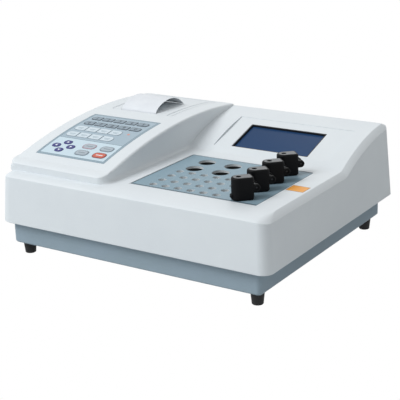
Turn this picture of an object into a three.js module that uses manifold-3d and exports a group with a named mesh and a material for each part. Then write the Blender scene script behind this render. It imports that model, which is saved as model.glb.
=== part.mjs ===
// Coagulation analyser: a moulded bench case with four flip-up measuring heads, a sloped display,
// and a tower that holds a keypad and a strip printer.
// Millimetres, +X to the right, +Y to the back, +Z up. The origin is on the bench, under the middle.
import * as THREE from "three";
import { mergeVertices } from "three/addons/utils/BufferGeometryUtils.js";
import Module from "manifold-3d";

const wasm = await Module();
wasm.setup();

// General values
const cutOverrun = 5;            // how far a cutting solid runs past the face it opens
const fitGap = 0.3;              // gap between pieces that sit in one another
const faceStep = 0.1;            // faces that would share one plane are kept this far apart
const degrees = Math.PI / 180;

// Case
const caseWidth = 400;
const caseDepth = 338;
const rimHeight = 46;            // lower edge of the case above the bench
const deckHeight = 112;          // flat working deck above the bench
const caseWall = 3;
const caseCornerRadius = 16;     // upright front corners, seen from above
const caseRearRadius = 4;        // upright rear corners
const caseEdgeRadius = 8;        // front and side edges of the deck
const draftShare = 0.065;        // how much each wall leans in, as a share of its height
const envelopeHeight = 180;      // height of the leaning walls before the tops are cut

// Places and lengths that follow the case, as shares of its width (across, along X)
const widthShares = {
  fieldLeftShare: -0.0175,
  fieldRightShare: 0.4125,
  displayLeftShare: 0.05,
  displayWidthShare: 0.2775,
  towerRightShare: -0.1025,
  keypadCentreXShare: -0.295,
  keypadWidthShare: 0.2765,
  keyColumnShiftShare: 0.0025,
  digitPitchXShare: 0.048,
  digitLengthShare: 0.0435,
  softLengthShare: 0.0455,
  arrowCentreXShare: -0.3655,
  arrowStepXShare: 0.0295,
  arrowLengthShare: 0.028,
  commandLeftXShare: -0.2735,
  commandRightXShare: -0.203,
  commandLengthShare: 0.05,
  plateLeftShare: -0.045,
  plateRightShare: 0.40125,
  cuvetteFirstXShare: 0.0205,
  cuvettePitchXShare: 0.0455,
  reagentFirstXShare: 0.0445,
  reagentPitchXShare: 0.0975,
  moduleLeftShare: 0.29,
  headFirstXShare: 0.327,
  coverLeftShare: -0.4175,
  coverRightShare: -0.17,
  paperCentreXShare: -0.30725,
  panLeftShare: -0.45625,
  panRightShare: 0.45625,
  footXShare: 0.43,
  rearLeftShare: -0.075,
  inletCentreXShare: 0.35,
  portCentreXShare: 0.05,
  boardLeftShare: -0.06,
  boardRightShare: 0.16,
  ventFirstXShare: 0.18,
  ventPitchShare: 0.0125,
  supplyLeftShare: -0.43,
  supplyRightShare: -0.155,
};

// The same along its depth (along Y)
const depthShares = {
  humpRadiusShare: 0.955621,
  humpCrownYShare: 0.532544,
  fieldFrontShare: 0.147929,
  fieldBackShare: 0.366864,
  displayFrontShare: 0.159763,
  displayLengthShare: 0.168639,
  towerRadiusShare: 2.218935,
  towerCrownYShare: 0.195266,
  towerFrontShare: -0.43787,
  keypadFrontShare: -0.349112,
  keypadBackShare: 0.026627,
  digitRowBackShare: -0.019231,
  digitRowFrontShare: -0.071893,
  softRowBackShare: -0.125148,
  softRowFrontShare: -0.180473,
  arrowCentreYShare: -0.278107,
  arrowStepYShare: 0.029586,
  commandBackYShare: -0.25503,
  commandFrontYShare: -0.304142,
  plateFrontShare: -0.367751,
  plateBackShare: 0.050296,
  cuvetteFirstYShare: -0.333136,
  cuvettePitchYShare: 0.057988,
  reagentFirstYShare: -0.102367,
  reagentPitchYShare: 0.088166,
  coverFrontShare: 0.121302,
  coverBackShare: 0.449704,
  paperLandYShare: 0.325444,
  rollYShare: 0.307692,
  frameFrontShare: 0.106509,
  frameBackShare: 0.420118,
  platenYShare: 0.159763,
  panFrontShare: -0.473373,
  panBackShare: 0.47929,
  footYShare: 0.426036,
  rearFaceShare: 0.473373,
  supplyFrontShare: 0.059172,
  supplyBackShare: 0.384615,
};

// Display hump behind the deck
const humpRadius = caseDepth * depthShares.humpRadiusShare;  // side profile of the hump is one arc
const humpCrownY = caseDepth * depthShares.humpCrownYShare;
const humpCrownZ = 145.4;
const humpFootLength = 7;        // hollow sweep where the hump leaves the deck
const humpEdgeRadius = 6;        // rear edge of the hump
const fieldFront = caseDepth * depthShares.fieldFrontShare;  // flat display field, front and back
const fieldBack = caseDepth * depthShares.fieldBackShare;
const fieldLeft = caseWidth * widthShares.fieldLeftShare;
const fieldRight = caseWidth * widthShares.fieldRightShare;
const fieldMargin = 5;           // thick pad round the flat field, inside the case
const displayLeft = caseWidth * widthShares.displayLeftShare;
const displayWidth = caseWidth * widthShares.displayWidthShare;
const displayFront = caseDepth * depthShares.displayFrontShare;
const displayLength = caseDepth * depthShares.displayLengthShare;  // opening measured up the slope
const displayRimWall = 1.2;
const displayDepth = 3;          // glass lies this far under the field
const displayGlass = 1.5;
const displayFlange = 6;         // the module's flange reaches this far past the opening
const displayFlangeThickness = 4;
const displayBody = 9;           // thickness of the module under the glass

// Tower
const towerRadius = caseDepth * depthShares.towerRadiusShare;  // side profile of the tower top is one arc
const towerCrownY = caseDepth * depthShares.towerCrownYShare;
const towerCrownZ = 153.2;
const towerRight = caseWidth * widthShares.towerRightShare;
const towerFront = caseDepth * depthShares.towerFrontShare;
const towerCornerRadius = 10;    // upright front corners
const towerEdgeRadius = 6;
const towerFootRadius = 8;       // hollow sweep from the tower's wall to the deck
const towerFrontRun = 15;        // length over which the tower's front edge rounds over
const towerFrontRise = 10;       // height of the upright part of the tower's front

// Keypad
const keypadCentreX = caseWidth * widthShares.keypadCentreXShare;
const keypadWidth = caseWidth * widthShares.keypadWidthShare;
const keypadFront = caseDepth * depthShares.keypadFrontShare;
const keypadBack = caseDepth * depthShares.keypadBackShare;
const keypadRecess = 2;
const keypadThickness = 1.8;
// The key columns stand this far left of the keypad's middle
const keyColumnShift = caseWidth * widthShares.keyColumnShiftShare;
const keyHeight = 1.7;
const keyProud = 0.5;            // height of a key over the overlay
const keyBevel = 0.25;
const digitPitchX = caseWidth * widthShares.digitPitchXShare;
const digitRowBack = caseDepth * depthShares.digitRowBackShare;
const digitRowFront = caseDepth * depthShares.digitRowFrontShare;
const digitLength = caseWidth * widthShares.digitLengthShare;
const digitBreadth = 10.6;
const softRowBack = caseDepth * depthShares.softRowBackShare;
const softRowFront = caseDepth * depthShares.softRowFrontShare;
const softLength = caseWidth * widthShares.softLengthShare;
const softBreadth = 13;
const arrowCentreX = caseWidth * widthShares.arrowCentreXShare;
const arrowCentreY = caseDepth * depthShares.arrowCentreYShare;
const arrowStepX = caseWidth * widthShares.arrowStepXShare;
const arrowStepY = caseDepth * depthShares.arrowStepYShare;
const arrowLength = caseWidth * widthShares.arrowLengthShare;
const arrowBreadth = 8.6;
const commandLeftX = caseWidth * widthShares.commandLeftXShare;
const commandRightX = caseWidth * widthShares.commandRightXShare;
const commandBackY = caseDepth * depthShares.commandBackYShare;
const commandFrontY = caseDepth * depthShares.commandFrontYShare;
const commandLength = caseWidth * widthShares.commandLengthShare;
const commandBreadth = 12.4;
const digitColumns = 5;
const softColumns = 4;

// Deck plate and its wells
const plateLeft = caseWidth * widthShares.plateLeftShare;
const plateRight = caseWidth * widthShares.plateRightShare;
const plateFront = caseDepth * depthShares.plateFrontShare;
const plateBack = caseDepth * depthShares.plateBackShare;
const plateThickness = 1.5;
const plateSunk = 0.5;           // the plate's face lies this far under the deck
const plateCornerRadius = 2;
const plateLedge = 4;
const cuvetteDiameter = 10;
const cuvetteFirstX = caseWidth * widthShares.cuvetteFirstXShare;
const cuvetteFirstY = caseDepth * depthShares.cuvetteFirstYShare;
const cuvettePitchX = caseWidth * widthShares.cuvettePitchXShare;
const cuvettePitchY = caseDepth * depthShares.cuvettePitchYShare;
const cuvetteColumns = 6;
const cuvetteRows = 4;
const cuvetteDepth = 34;
const reagentDiameter = 22;
const reagentFirstX = caseWidth * widthShares.reagentFirstXShare;
const reagentFirstY = caseDepth * depthShares.reagentFirstYShare;
const reagentPitchX = caseWidth * widthShares.reagentPitchXShare;
const reagentPitchY = caseDepth * depthShares.reagentPitchYShare;
const reagentColumns = 2;
const reagentRows = 2;
const reagentDepth = 30;
const blockHeight = 38;
const blockMargin = 8;
const moduleHeight = 30;
const moduleWellDepth = 24;
const moduleLeft = caseWidth * widthShares.moduleLeftShare;
const moduleGap = 3;             // between the heated block and the optical block

// Measuring heads, each in a frame of its own: the long way is X, the short way is Y,
// and the origin is on the deck plate under the middle of the round end
const headCount = 4;
const headTurn = 45;             // degrees between a head's long way and the case's X
const headFirstX = caseWidth * widthShares.headFirstXShare;
const headFrontRoom = 10.5;      // from the plate's front edge to the first head
const headBackRoom = 22.5;       // from the last head to the plate's back edge
const headFirstY = plateFront + headFrontRoom;
const headPitch = (plateBack - headBackRoom - headFirstY) / (headCount - 1);
const headWidth = 18;
const headReach = 17;            // from the round end's middle to the flat end
const headHeight = 27.5;
const headEdge = 4;              // rounding of the top edge
const headLift = 0.4;            // gap under the closed head
const headCornerCut = 4;         // rounding of the lower corner at the flat end
const pipetteHole = 5;
const measuringWell = 9;
const pivotOut = 2.6;            // the hinge line past the flat end
const pivotUp = 14.5;            // the hinge line above the plate
const knuckleRadius = 4.4;
const hingePinDiameter = 3;
const hingePinInset = 1.5;       // the pin's ends lie under the faces of the knuckles
const hingeBore = 3.6;
const slotWidth = 6.6;
const postWidth = 6;
const postThickness = 5;
const postBehind = 8.5;          // far side of the post, measured from the hinge line
const postArmHalf = 3;
const slotReach = 9.8;           // far side of the slot, measured from the hinge line
const slotAbove = 6.4;           // top of the slot over the hinge line
const liftLipWidth = 8;
const liftLipHeight = 4.5;
const liftLipOut = 1.4;
const liftLipUp = 2.5;

// Printer
const coverLeft = caseWidth * widthShares.coverLeftShare;
const coverRight = caseWidth * widthShares.coverRightShare;
const coverFront = caseDepth * depthShares.coverFrontShare;
const coverBack = caseDepth * depthShares.coverBackShare;
const coverThickness = 2.5;
const coverHingeGap = 3;         // wider gap behind the cover, so that it can turn
const coverHingeInset = 2.5;     // the hinge line lies this far in front of the cover's back edge
const coverHingeY = coverBack - coverHingeInset;
const coverHingeZ = 144;
const coverBarrelRadius = 3;
const coverStubRadius = 2;
const coverStubLength = 2.5;
const coverEarLength = 6;
const coverEarReach = 4.5;
const paperCentreX = caseWidth * widthShares.paperCentreXShare;
const paperWidth = 57.4;
const paperThickness = 0.3;
const paperSlot = 1.6;           // width of the slot in the cover's front edge
const paperSideGap = 1.5;        // room beside the paper
const paperLandY = caseDepth * depthShares.paperLandYShare;  // where the strip's free end meets the cover
const paperRise = 14.3;          // height of the loop over its ends
const paperTail = 5;             // length of strip under the cover's face
const paperLift = 0.3;           // gap between the free end and the cover
const rollDiameter = 44;
const rollCore = 12;
const rollY = caseDepth * depthShares.rollYShare;
const rollZ = 118;
const rollClear = 2;             // room under the roll
const spindleReach = 4;          // the spindle stubs reach this far into the core
const frameWall = 3;
const frameGuide = 4;
const frameFront = caseDepth * depthShares.frameFrontShare;
const frameBack = caseDepth * depthShares.frameBackShare;
const frameFloor = 2;
const frameLedge = 1.7;          // the side walls stand this far outside the cover's opening
const platenDiameter = 12;
const platenShaft = 5;
const platenBore = 5.6;
const platenY = caseDepth * depthShares.platenYShare;
const platenZ = 138;
const printHeadThickness = 3;
const printHeadHeight = 12;
const printHeadGap = 0.6;

// Base pan and feet
const panLeft = caseWidth * widthShares.panLeftShare;
const panRight = caseWidth * widthShares.panRightShare;
const panFront = caseDepth * depthShares.panFrontShare;
const panBack = caseDepth * depthShares.panBackShare;
const panWall = 2;
const panCornerRadius = 8;
const panBottomBevel = 2;
const panFlangeUp = 1;           // the flange lies this far inside the case's rim
const footHeight = 17;
const footTop = 18;
const footBottom = 14;
const footX = caseWidth * widthShares.footXShare;
const footY = caseDepth * depthShares.footYShare;
const footEdge = 1;

// Rear panel and what is on it
const rearLeft = caseWidth * widthShares.rearLeftShare;
const rearLow = 62;
const rearHigh = 100;
const rearMargin = 6;            // width of the flat frame round the opening, inside the case
const rearLap = 5;               // the panel reaches this far past the opening
const rearThickness = 2;
const rearFace = caseDepth * depthShares.rearFaceShare;  // outer face of the rear panel
const inletCentreX = caseWidth * widthShares.inletCentreXShare;
const inletCentreZ = 81;
const inletWidth = 50;
const inletSide = 5;             // from the inlet to the right end of the rear opening
const rearRight = inletCentreX + inletWidth / 2 + inletSide;
const inletHeight = 28;
const inletDeep = 26;
const inletFlange = 2.5;
const inletLap = 1.5;            // the flange reaches this far past the body
const socketWidth = 24.4;
const socketHeight = 16.4;
const socketDeep = 17;
const socketOffset = -9.5;       // the socket lies to one side of the module's middle
const socketPinWidth = 2;
const socketPinHeight = 4;
const socketPinLength = 14;
const socketPinPitch = 7;
const socketPinDrop = 2;
const rockerOffset = 15.5;
const rockerWidth = 12;
const rockerHeight = 19;
const rockerDeep = 9;
const rockerProud = 2.5;
const rockerHollow = 1.6;        // the face is this much lower in the middle
const rockerTilt = 7;            // degrees each side of level
const rockerGap = 1;
const rockerPivot = 2.4;
const rockerPivotOut = 1.4;      // the pivot pins reach this far past the rocker's sides
const rockerPivotDeep = 4.5;     // depth of the pivot line behind the flange's face
const portCentreX = caseWidth * widthShares.portCentreXShare;
const portWidth = 31;
const portHeight = 12.5;
const portDeep = 8.5;
const portProud = 4;
const boardLeft = caseWidth * widthShares.boardLeftShare;
const boardRight = caseWidth * widthShares.boardRightShare;
const boardEdge = 5;             // standoffs stand this far inside the board's edges
const standoffDiameter = 6;
const boardLow = 54;
const boardHigh = 104;
const boardThickness = 1.6;
const ventCount = 8;
const ventWidth = 2.2;
const ventPitch = caseWidth * widthShares.ventPitchShare;
const ventHeight = 22;
const ventFirstX = caseWidth * widthShares.ventFirstXShare;

// Power supply
const supplyLeft = caseWidth * widthShares.supplyLeftShare;
const supplyRight = caseWidth * widthShares.supplyRightShare;
const supplyFront = caseDepth * depthShares.supplyFrontShare;
const supplyBack = caseDepth * depthShares.supplyBackShare;
const supplyBoard = 2;
const supplyBoss = 8;
const supplyBossHeight = 4;
const supplyEdge = 8;            // bosses stand this far inside the board's edges

// Parts on the two boards: middle and size, as shares of the board's long side and short side,
// and height as a share of the short side
const supplyPartShares = [
  { middleShares: [0.27, 0.3], sizeShares: [0.36, 0.42], heightShare: 0.31 },
  { middleShares: [0.72, 0.25], sizeShares: [0.26, 0.26], heightShare: 0.22 },
  { middleShares: [0.74, 0.7], sizeShares: [0.32, 0.38], heightShare: 0.26 },
  { middleShares: [0.27, 0.78], sizeShares: [0.28, 0.24], heightShare: 0.18 },
];
const boardPartShares = [
  { middleShares: [0.22, 0.66], sizeShares: [0.26, 0.44], heightShare: 0.06 },
  { middleShares: [0.8, 0.62], sizeShares: [0.16, 0.4], heightShare: 0.1 },
  { middleShares: [0.5, 0.2], sizeShares: [0.4, 0.2], heightShare: 0.16 },
];

// Loop of paper: distance back from the slot and height over its ends, as shares of its length and rise
const paperLoopShares = [
  [0, 0],
  [0.038, 0.2],
  [0.128, 0.44],
  [0.236, 0.67],
  [0.382, 0.91],
  [0.508, 0.99],
  [0.634, 0.95],
  [0.742, 0.79],
  [0.848, 0.535],
  [1, 0],
];

// Facets
const arcSteps = 4;
const cornerSteps = 5;
const wellSides = 12;
const reagentSides = 20;
const smallSides = 12;
const rollSides = 32;
const keySegments = 3;
const headArcSteps = 8;

const analyser = new THREE.Group();

// Turning shapes into solids and back
function toSolid(geometry) {
  const clean = geometry.clone();
  clean.deleteAttribute("normal");
  clean.deleteAttribute("uv");
  const merged = mergeVertices(clean);
  const mesh = new wasm.Mesh({
    numProp: 3,
    vertProperties: new Float32Array(merged.attributes.position.array),
    triVerts: new Uint32Array(merged.index.array),
  });
  return new wasm.Manifold(mesh);
}

function toGeometry(solid) {
  const mesh = solid.getMesh();
  const geometry = new THREE.BufferGeometry();
  geometry.setAttribute("position", new THREE.BufferAttribute(mesh.vertProperties, 3));
  geometry.setIndex(new THREE.BufferAttribute(mesh.triVerts, 1));
  return geometry;
}

function addPiece(name, shape, look, parent = analyser) {
  const geometry = shape.isBufferGeometry ? shape : toGeometry(shape);
  const mesh = new THREE.Mesh(geometry, new THREE.MeshStandardMaterial(look));
  mesh.name = name;
  parent.add(mesh);
  return mesh;
}

// Skin over a row of closed rings, with a flat cap on each end. Seen from the last ring,
// each ring runs anticlockwise.
function loft(rings) {
  const count = rings[0].length;
  const last = (rings.length - 1) * count;
  const faces = [];
  for (let ring = 0; ring < rings.length - 1; ring += 1) {
    for (let i = 0; i < count; i += 1) {
      const a = ring * count + i;
      const b = ring * count + (i + 1) % count;
      faces.push(a, b, b + count, a, b + count, a + count);
    }
  }
  for (let i = 1; i < count - 1; i += 1) {
    faces.push(0, i + 1, i);
    faces.push(last, last + i, last + i + 1);
  }
  const geometry = new THREE.BufferGeometry();
  geometry.setAttribute("position", new THREE.Float32BufferAttribute(rings.flat(2), 3));
  geometry.setIndex(faces);
  return geometry;
}

// Box between two corners
function boxSolid([x0, y0, z0], [x1, y1, z1]) {
  const geometry = new THREE.BoxGeometry(x1 - x0, y1 - y0, z1 - z0);
  geometry.translate((x0 + x1) / 2, (y0 + y1) / 2, (z0 + z1) / 2);
  return toSolid(geometry);
}

// Prism along X from a side outline of [y, z] points
function sidePrism(outline, x0, x1) {
  const shape = new THREE.Shape(outline.map(([y, z]) => new THREE.Vector2(y, z)));
  const geometry = new THREE.ExtrudeGeometry(shape, { depth: x1 - x0, bevelEnabled: false });
  const turn = new THREE.Matrix4().makeBasis(
    new THREE.Vector3(0, 1, 0),
    new THREE.Vector3(0, 0, 1),
    new THREE.Vector3(1, 0, 0),
  );
  geometry.applyMatrix4(turn);
  geometry.translate(x0, 0, 0);
  return toSolid(geometry);
}

// Upright cylinder, and one that lies along X
function uprightCylinder(diameter, sides, x, y, z0, z1) {
  const geometry = new THREE.CylinderGeometry(diameter / 2, diameter / 2, z1 - z0, sides);
  geometry.rotateX(Math.PI / 2);
  geometry.translate(x, y, (z0 + z1) / 2);
  return toSolid(geometry);
}

function lyingCylinder(diameter, sides, x0, x1, y, z) {
  const geometry = new THREE.CylinderGeometry(diameter / 2, diameter / 2, x1 - x0, sides);
  geometry.rotateZ(Math.PI / 2);
  geometry.translate((x0 + x1) / 2, y, z);
  return toSolid(geometry);
}

// Rounded rectangle as a ring of plan points, anticlockwise. The rear corners can have a radius of their own.
function roundedRing(x0, y0, x1, y1, radius, z, rearRadius = radius) {
  const corners = [
    [x1 - rearRadius, y1 - rearRadius, rearRadius],
    [x0 + rearRadius, y1 - rearRadius, rearRadius],
    [x0 + radius, y0 + radius, radius],
    [x1 - radius, y0 + radius, radius],
  ];
  return corners.flatMap(([x, y, reach], quarter) => Array.from({ length: cornerSteps + 1 }, (_, i) => {
    const angle = (quarter + i / cornerSteps) * Math.PI / 2;
    return [x + reach * Math.cos(angle), y + reach * Math.sin(angle), z];
  }));
}

function roundedPrism(x0, y0, x1, y1, radius, z0, z1) {
  return toSolid(loft([z0, z1].map((z) => roundedRing(x0, y0, x1, y1, radius, z))));
}

// Long key outline with round ends, centred on the origin
function stadium(length, breadth, grow) {
  const radius = breadth / 2 + grow;
  const reach = (length - breadth) / 2;
  const shape = new THREE.Shape();
  shape.absarc(reach, 0, radius, -Math.PI / 2, Math.PI / 2, false);
  shape.absarc(-reach, 0, radius, Math.PI / 2, Math.PI * 3 / 2, false);
  return shape;
}

// Leaning outer walls
const halfWidthAt = (z) => caseWidth / 2 - draftShare * (z - rimHeight);
const halfDepthAt = (z) => caseDepth / 2 - draftShare * (z - rimHeight);

// Height of a crowned top at y
const arcHeight = (y, crownY, crownZ, radius) => (
  crownZ - radius + Math.sqrt(radius ** 2 - (y - crownY) ** 2)
);
const humpHeight = (y) => arcHeight(y, humpCrownY, humpCrownZ, humpRadius);
const towerHeight = (y) => arcHeight(y, towerCrownY, towerCrownZ, towerRadius);

const steps = (from, to, count) => Array.from(
  { length: count + 1 },
  (_, i) => from + (to - from) * i / count,
);

// Side profile of deck and hump, as [y, z] from front to back
function deckProfile() {
  const edgeBase = deckHeight - caseEdgeRadius;
  const frontCentre = -halfDepthAt(edgeBase) - faceStep + caseEdgeRadius;
  const front = steps(-Math.PI, -Math.PI / 2, arcSteps).map((angle) => [
    frontCentre + caseEdgeRadius * Math.cos(angle),
    edgeBase - caseEdgeRadius * Math.sin(angle),
  ]);
  const footY = humpCrownY - Math.sqrt(humpRadius ** 2 - (humpRadius - humpCrownZ + deckHeight) ** 2);
  const footStart = footY - humpFootLength / 2;
  const footEnd = footY + humpFootLength / 2;
  const foot = steps(0, 1, arcSteps - 1).map((t) => [
    footStart + humpFootLength * t,
    deckHeight + (humpHeight(footEnd) - deckHeight) * t ** 2,
  ]);
  const edgeTop = humpHeight(halfDepthAt(humpCrownZ) - humpEdgeRadius);
  const backCentre = halfDepthAt(edgeTop) + faceStep - humpEdgeRadius;
  const slope = steps(footEnd, backCentre, arcSteps * 2).slice(1).map((y) => [y, humpHeight(y)]);
  const back = steps(Math.PI / 2, 0, arcSteps).slice(1).map((angle) => [
    backCentre + humpEdgeRadius * Math.cos(angle),
    humpHeight(backCentre) - humpEdgeRadius + humpEdgeRadius * Math.sin(angle),
  ]);
  const tail = back[back.length - 1];
  const past = caseDepth / 2 + cutOverrun;
  return [[-past, front[0][1]], ...front, ...foot, ...slope, ...back, [past, tail[1]]];
}

// Side profile of the tower
function towerProfile() {
  const arcStart = towerFront + towerFrontRun;
  const upright = deckHeight + towerFrontRise;
  const front = steps(0, 1, arcSteps).map((t) => [
    towerFront - faceStep + (towerFrontRun + faceStep) * (1 - Math.cos(t * Math.PI / 2)),
    upright + (towerHeight(arcStart) - upright) * Math.sin(t * Math.PI / 2),
  ]);
  const backCentre = halfDepthAt(towerHeight(halfDepthAt(towerCrownZ))) + faceStep - towerEdgeRadius;
  const crown = [
    ...steps(arcStart, keypadFront, 1).slice(1),
    ...steps(keypadFront, keypadBack, arcSteps + 2).slice(1),
    ...steps(keypadBack, coverFront, 1).slice(1),
    ...steps(coverFront, coverBack, arcSteps + 1).slice(1),
    backCentre,
  ].map((y) => [y, towerHeight(y)]);
  const back = steps(Math.PI / 2, 0, arcSteps).slice(1).map((angle) => [
    backCentre + towerEdgeRadius * Math.cos(angle),
    towerHeight(backCentre) - towerEdgeRadius + towerEdgeRadius * Math.sin(angle),
  ]);
  const tail = back[back.length - 1];
  const head = [front[0][0] - cutOverrun, front[0][1]];
  return [head, ...front, ...crown, ...back, [caseDepth / 2 + cutOverrun, tail[1]]];
}

const towerStations = towerProfile();

// Height of the faceted tower top, which the overlay, the cover and the printer's walls follow
function towerTop(y) {
  const next = towerStations.findIndex(([stationY]) => stationY > y);
  const [y0, z0] = towerStations[next - 1];
  const [y1, z1] = towerStations[next];
  return z0 + (z1 - z0) * (y - y0) / (y1 - y0);
}

const stationsBetween = (front, back) => [
  front,
  ...towerStations.map(([y]) => y).filter((y) => y > front + fitGap && y < back - fitGap),
  back,
];

// Upright section across the case: leaning sides and rounded upper edges
function tableSection(y, left, right, bottom, top, radius) {
  const leftEdge = left(top);
  const rightEdge = right(top);
  const leftArc = steps(Math.PI, Math.PI / 2, arcSteps).map((angle) => [
    leftEdge + radius + radius * Math.cos(angle), y, top - radius + radius * Math.sin(angle),
  ]);
  const rightArc = steps(Math.PI / 2, 0, arcSteps).map((angle) => [
    rightEdge - radius + radius * Math.cos(angle), y, top - radius + radius * Math.sin(angle),
  ]);
  return [[left(bottom), y, bottom], ...leftArc, ...rightArc, [right(bottom), y, bottom]];
}

// Upper case: deck and hump, tower, and the hollow sweep round the tower's foot, cut to the leaning walls
const envelopeSolid = (inset) => toSolid(loft([rimHeight, envelopeHeight].map((z) => roundedRing(
  inset - faceStep * 2 - halfWidthAt(z), inset - halfDepthAt(z),
  halfWidthAt(z) + faceStep * 2 - inset, halfDepthAt(z) - inset,
  caseCornerRadius - inset, z, caseRearRadius - inset,
))));

function deckSolid(inset) {
  const left = (z) => inset - halfWidthAt(z);
  const right = (z) => halfWidthAt(z) - inset;
  const bottom = rimHeight - cutOverrun;
  const rings = deckProfile().map(
    ([y, z]) => tableSection(y, left, right, bottom, z - inset, caseEdgeRadius - inset),
  );
  return toSolid(loft(rings));
}

function towerSolid(inset) {
  const left = (z) => inset - faceStep - halfWidthAt(z);
  const right = () => towerRight - inset;
  const bottom = deckHeight - caseEdgeRadius - inset;
  const rings = towerStations.map(
    ([y, z]) => tableSection(y, left, right, bottom, z - inset, towerEdgeRadius - inset),
  );
  const plan = roundedPrism(
    inset - halfWidthAt(deckHeight), towerFront + inset, towerRight - inset + faceStep, caseDepth,
    towerCornerRadius - inset, bottom - cutOverrun, envelopeHeight,
  );
  return toSolid(loft(rings)).intersect(plan);
}

function footSweep() {
  const left = towerCornerRadius - halfWidthAt(deckHeight);
  const rings = steps(0, Math.PI / 2, arcSteps).map((angle) => {
    const grow = towerFootRadius * (1 - Math.sin(angle));
    return roundedRing(
      left, towerFront + faceStep, towerRight + grow, caseDepth / 2 + cutOverrun,
      towerCornerRadius + grow, deckHeight + towerFootRadius * (1 - Math.cos(angle)),
    );
  });
  const base = rings[0].map(([x, y]) => [x, y, deckHeight - caseWall / 2]);
  return toSolid(loft([base, ...rings]));
}

// Flat field and the frame that lies in it: X across, Y up the slope, Z out of the field
const fieldAngle = Math.atan2(humpHeight(fieldBack) - humpHeight(fieldFront), fieldBack - fieldFront);
const fieldPlane = new THREE.Matrix4().makeRotationX(fieldAngle);
fieldPlane.setPosition(0, fieldFront, humpHeight(fieldFront));
const fieldStart = (displayFront - fieldFront) / Math.cos(fieldAngle);
const fieldLength = (fieldBack - fieldFront) / Math.cos(fieldAngle);

function inField([x0, y0, z0], [x1, y1, z1]) {
  const geometry = new THREE.BoxGeometry(x1 - x0, y1 - y0, z1 - z0);
  geometry.translate((x0 + x1) / 2, (y0 + y1) / 2, (z0 + z1) / 2);
  geometry.applyMatrix4(fieldPlane);
  return toSolid(geometry);
}

// Closed solid between two heights over a stretch of the tower's top
function crownSlab(x0, x1, front, back, low, high) {
  const rings = stationsBetween(front, back).map((y) => [
    [x0, y, towerTop(y) + low],
    [x0, y, towerTop(y) + high],
    [x1, y, towerTop(y) + high],
    [x1, y, towerTop(y) + low],
  ]);
  return toSolid(loft(rings));
}

const keypadLeft = keypadCentreX - keypadWidth / 2;
const keypadRight = keypadCentreX + keypadWidth / 2;

function hingeEar(x0, x1) {
  const back = coverHingeY + coverEarReach;
  const front = coverHingeY - coverEarReach;
  const low = coverHingeZ - coverEarReach;
  const outline = [
    [front, low],
    [back, low],
    [back, towerTop(back) - caseWall / 2],
    [front, towerTop(front) - caseWall / 2],
  ];
  return sidePrism(outline, x0, x1);
}

function makeUpperCase() {
  const outer = deckSolid(0).add(towerSolid(0)).add(footSweep()).intersect(envelopeSolid(0));
  const inner = deckSolid(caseWall).add(towerSolid(caseWall)).intersect(envelopeSolid(caseWall));
  const kept = [
    inField(
      [fieldLeft - fieldMargin, -fieldMargin, -caseWall],
      [fieldRight + fieldMargin, fieldLength + fieldMargin, caseEdgeRadius],
    ),
    boxSolid(
      [rearLeft - rearMargin, rearFace + fitGap, rearLow - rearMargin],
      [rearRight + rearMargin, caseDepth / 2 + cutOverrun, rearHigh + rearMargin],
    ),
    hingeEar(coverLeft - fitGap - coverEarLength, coverLeft - fitGap),
    hingeEar(coverRight + fitGap, coverRight + fitGap + coverEarLength),
  ];
  const hollow = kept.reduce((whole, keep) => whole.subtract(keep), inner);
  const cuts = [
    inField(
      [fieldLeft, 0, 0],
      [fieldRight, fieldLength, caseEdgeRadius],
    ),
    inField(
      [displayLeft, fieldStart, -caseWall - cutOverrun],
      [displayLeft + displayWidth, fieldStart + displayLength, cutOverrun],
    ),
    boxSolid(
      [rearLeft, rearFace - cutOverrun, rearLow],
      [rearRight, caseDepth / 2 + cutOverrun, rearHigh],
    ),
    roundedPrism(
      plateLeft - fitGap, plateFront - fitGap, plateRight + fitGap, plateBack + fitGap,
      plateCornerRadius + fitGap, deckHeight - plateSunk - plateThickness, deckHeight + cutOverrun,
    ),
    boxSolid(
      [plateLeft + plateLedge, plateFront + plateLedge, deckHeight - caseWall - cutOverrun],
      [plateRight - plateLedge, plateBack - plateLedge, deckHeight + cutOverrun],
    ),
    crownSlab(
      keypadLeft - fitGap, keypadRight + fitGap, keypadFront - fitGap, keypadBack + fitGap,
      -keypadRecess, cutOverrun,
    ),
    crownSlab(
      coverLeft - fitGap, coverRight + fitGap, coverFront - fitGap, coverBack + coverHingeGap,
      -caseWall - cutOverrun, cutOverrun,
    ),
    lyingCylinder(
      (coverStubRadius + fitGap) * 2, smallSides,
      coverLeft - coverStubLength - fitGap, coverRight + coverStubLength + fitGap, coverHingeY, coverHingeZ,
    ),
  ];
  return cuts.reduce((whole, cut) => whole.subtract(cut), outer.subtract(hollow));
}

const casingLook = { color: 0xd8dee2, roughness: 0.5, metalness: 0 };
addPiece("upper_case", makeUpperCase(), casingLook);

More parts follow.
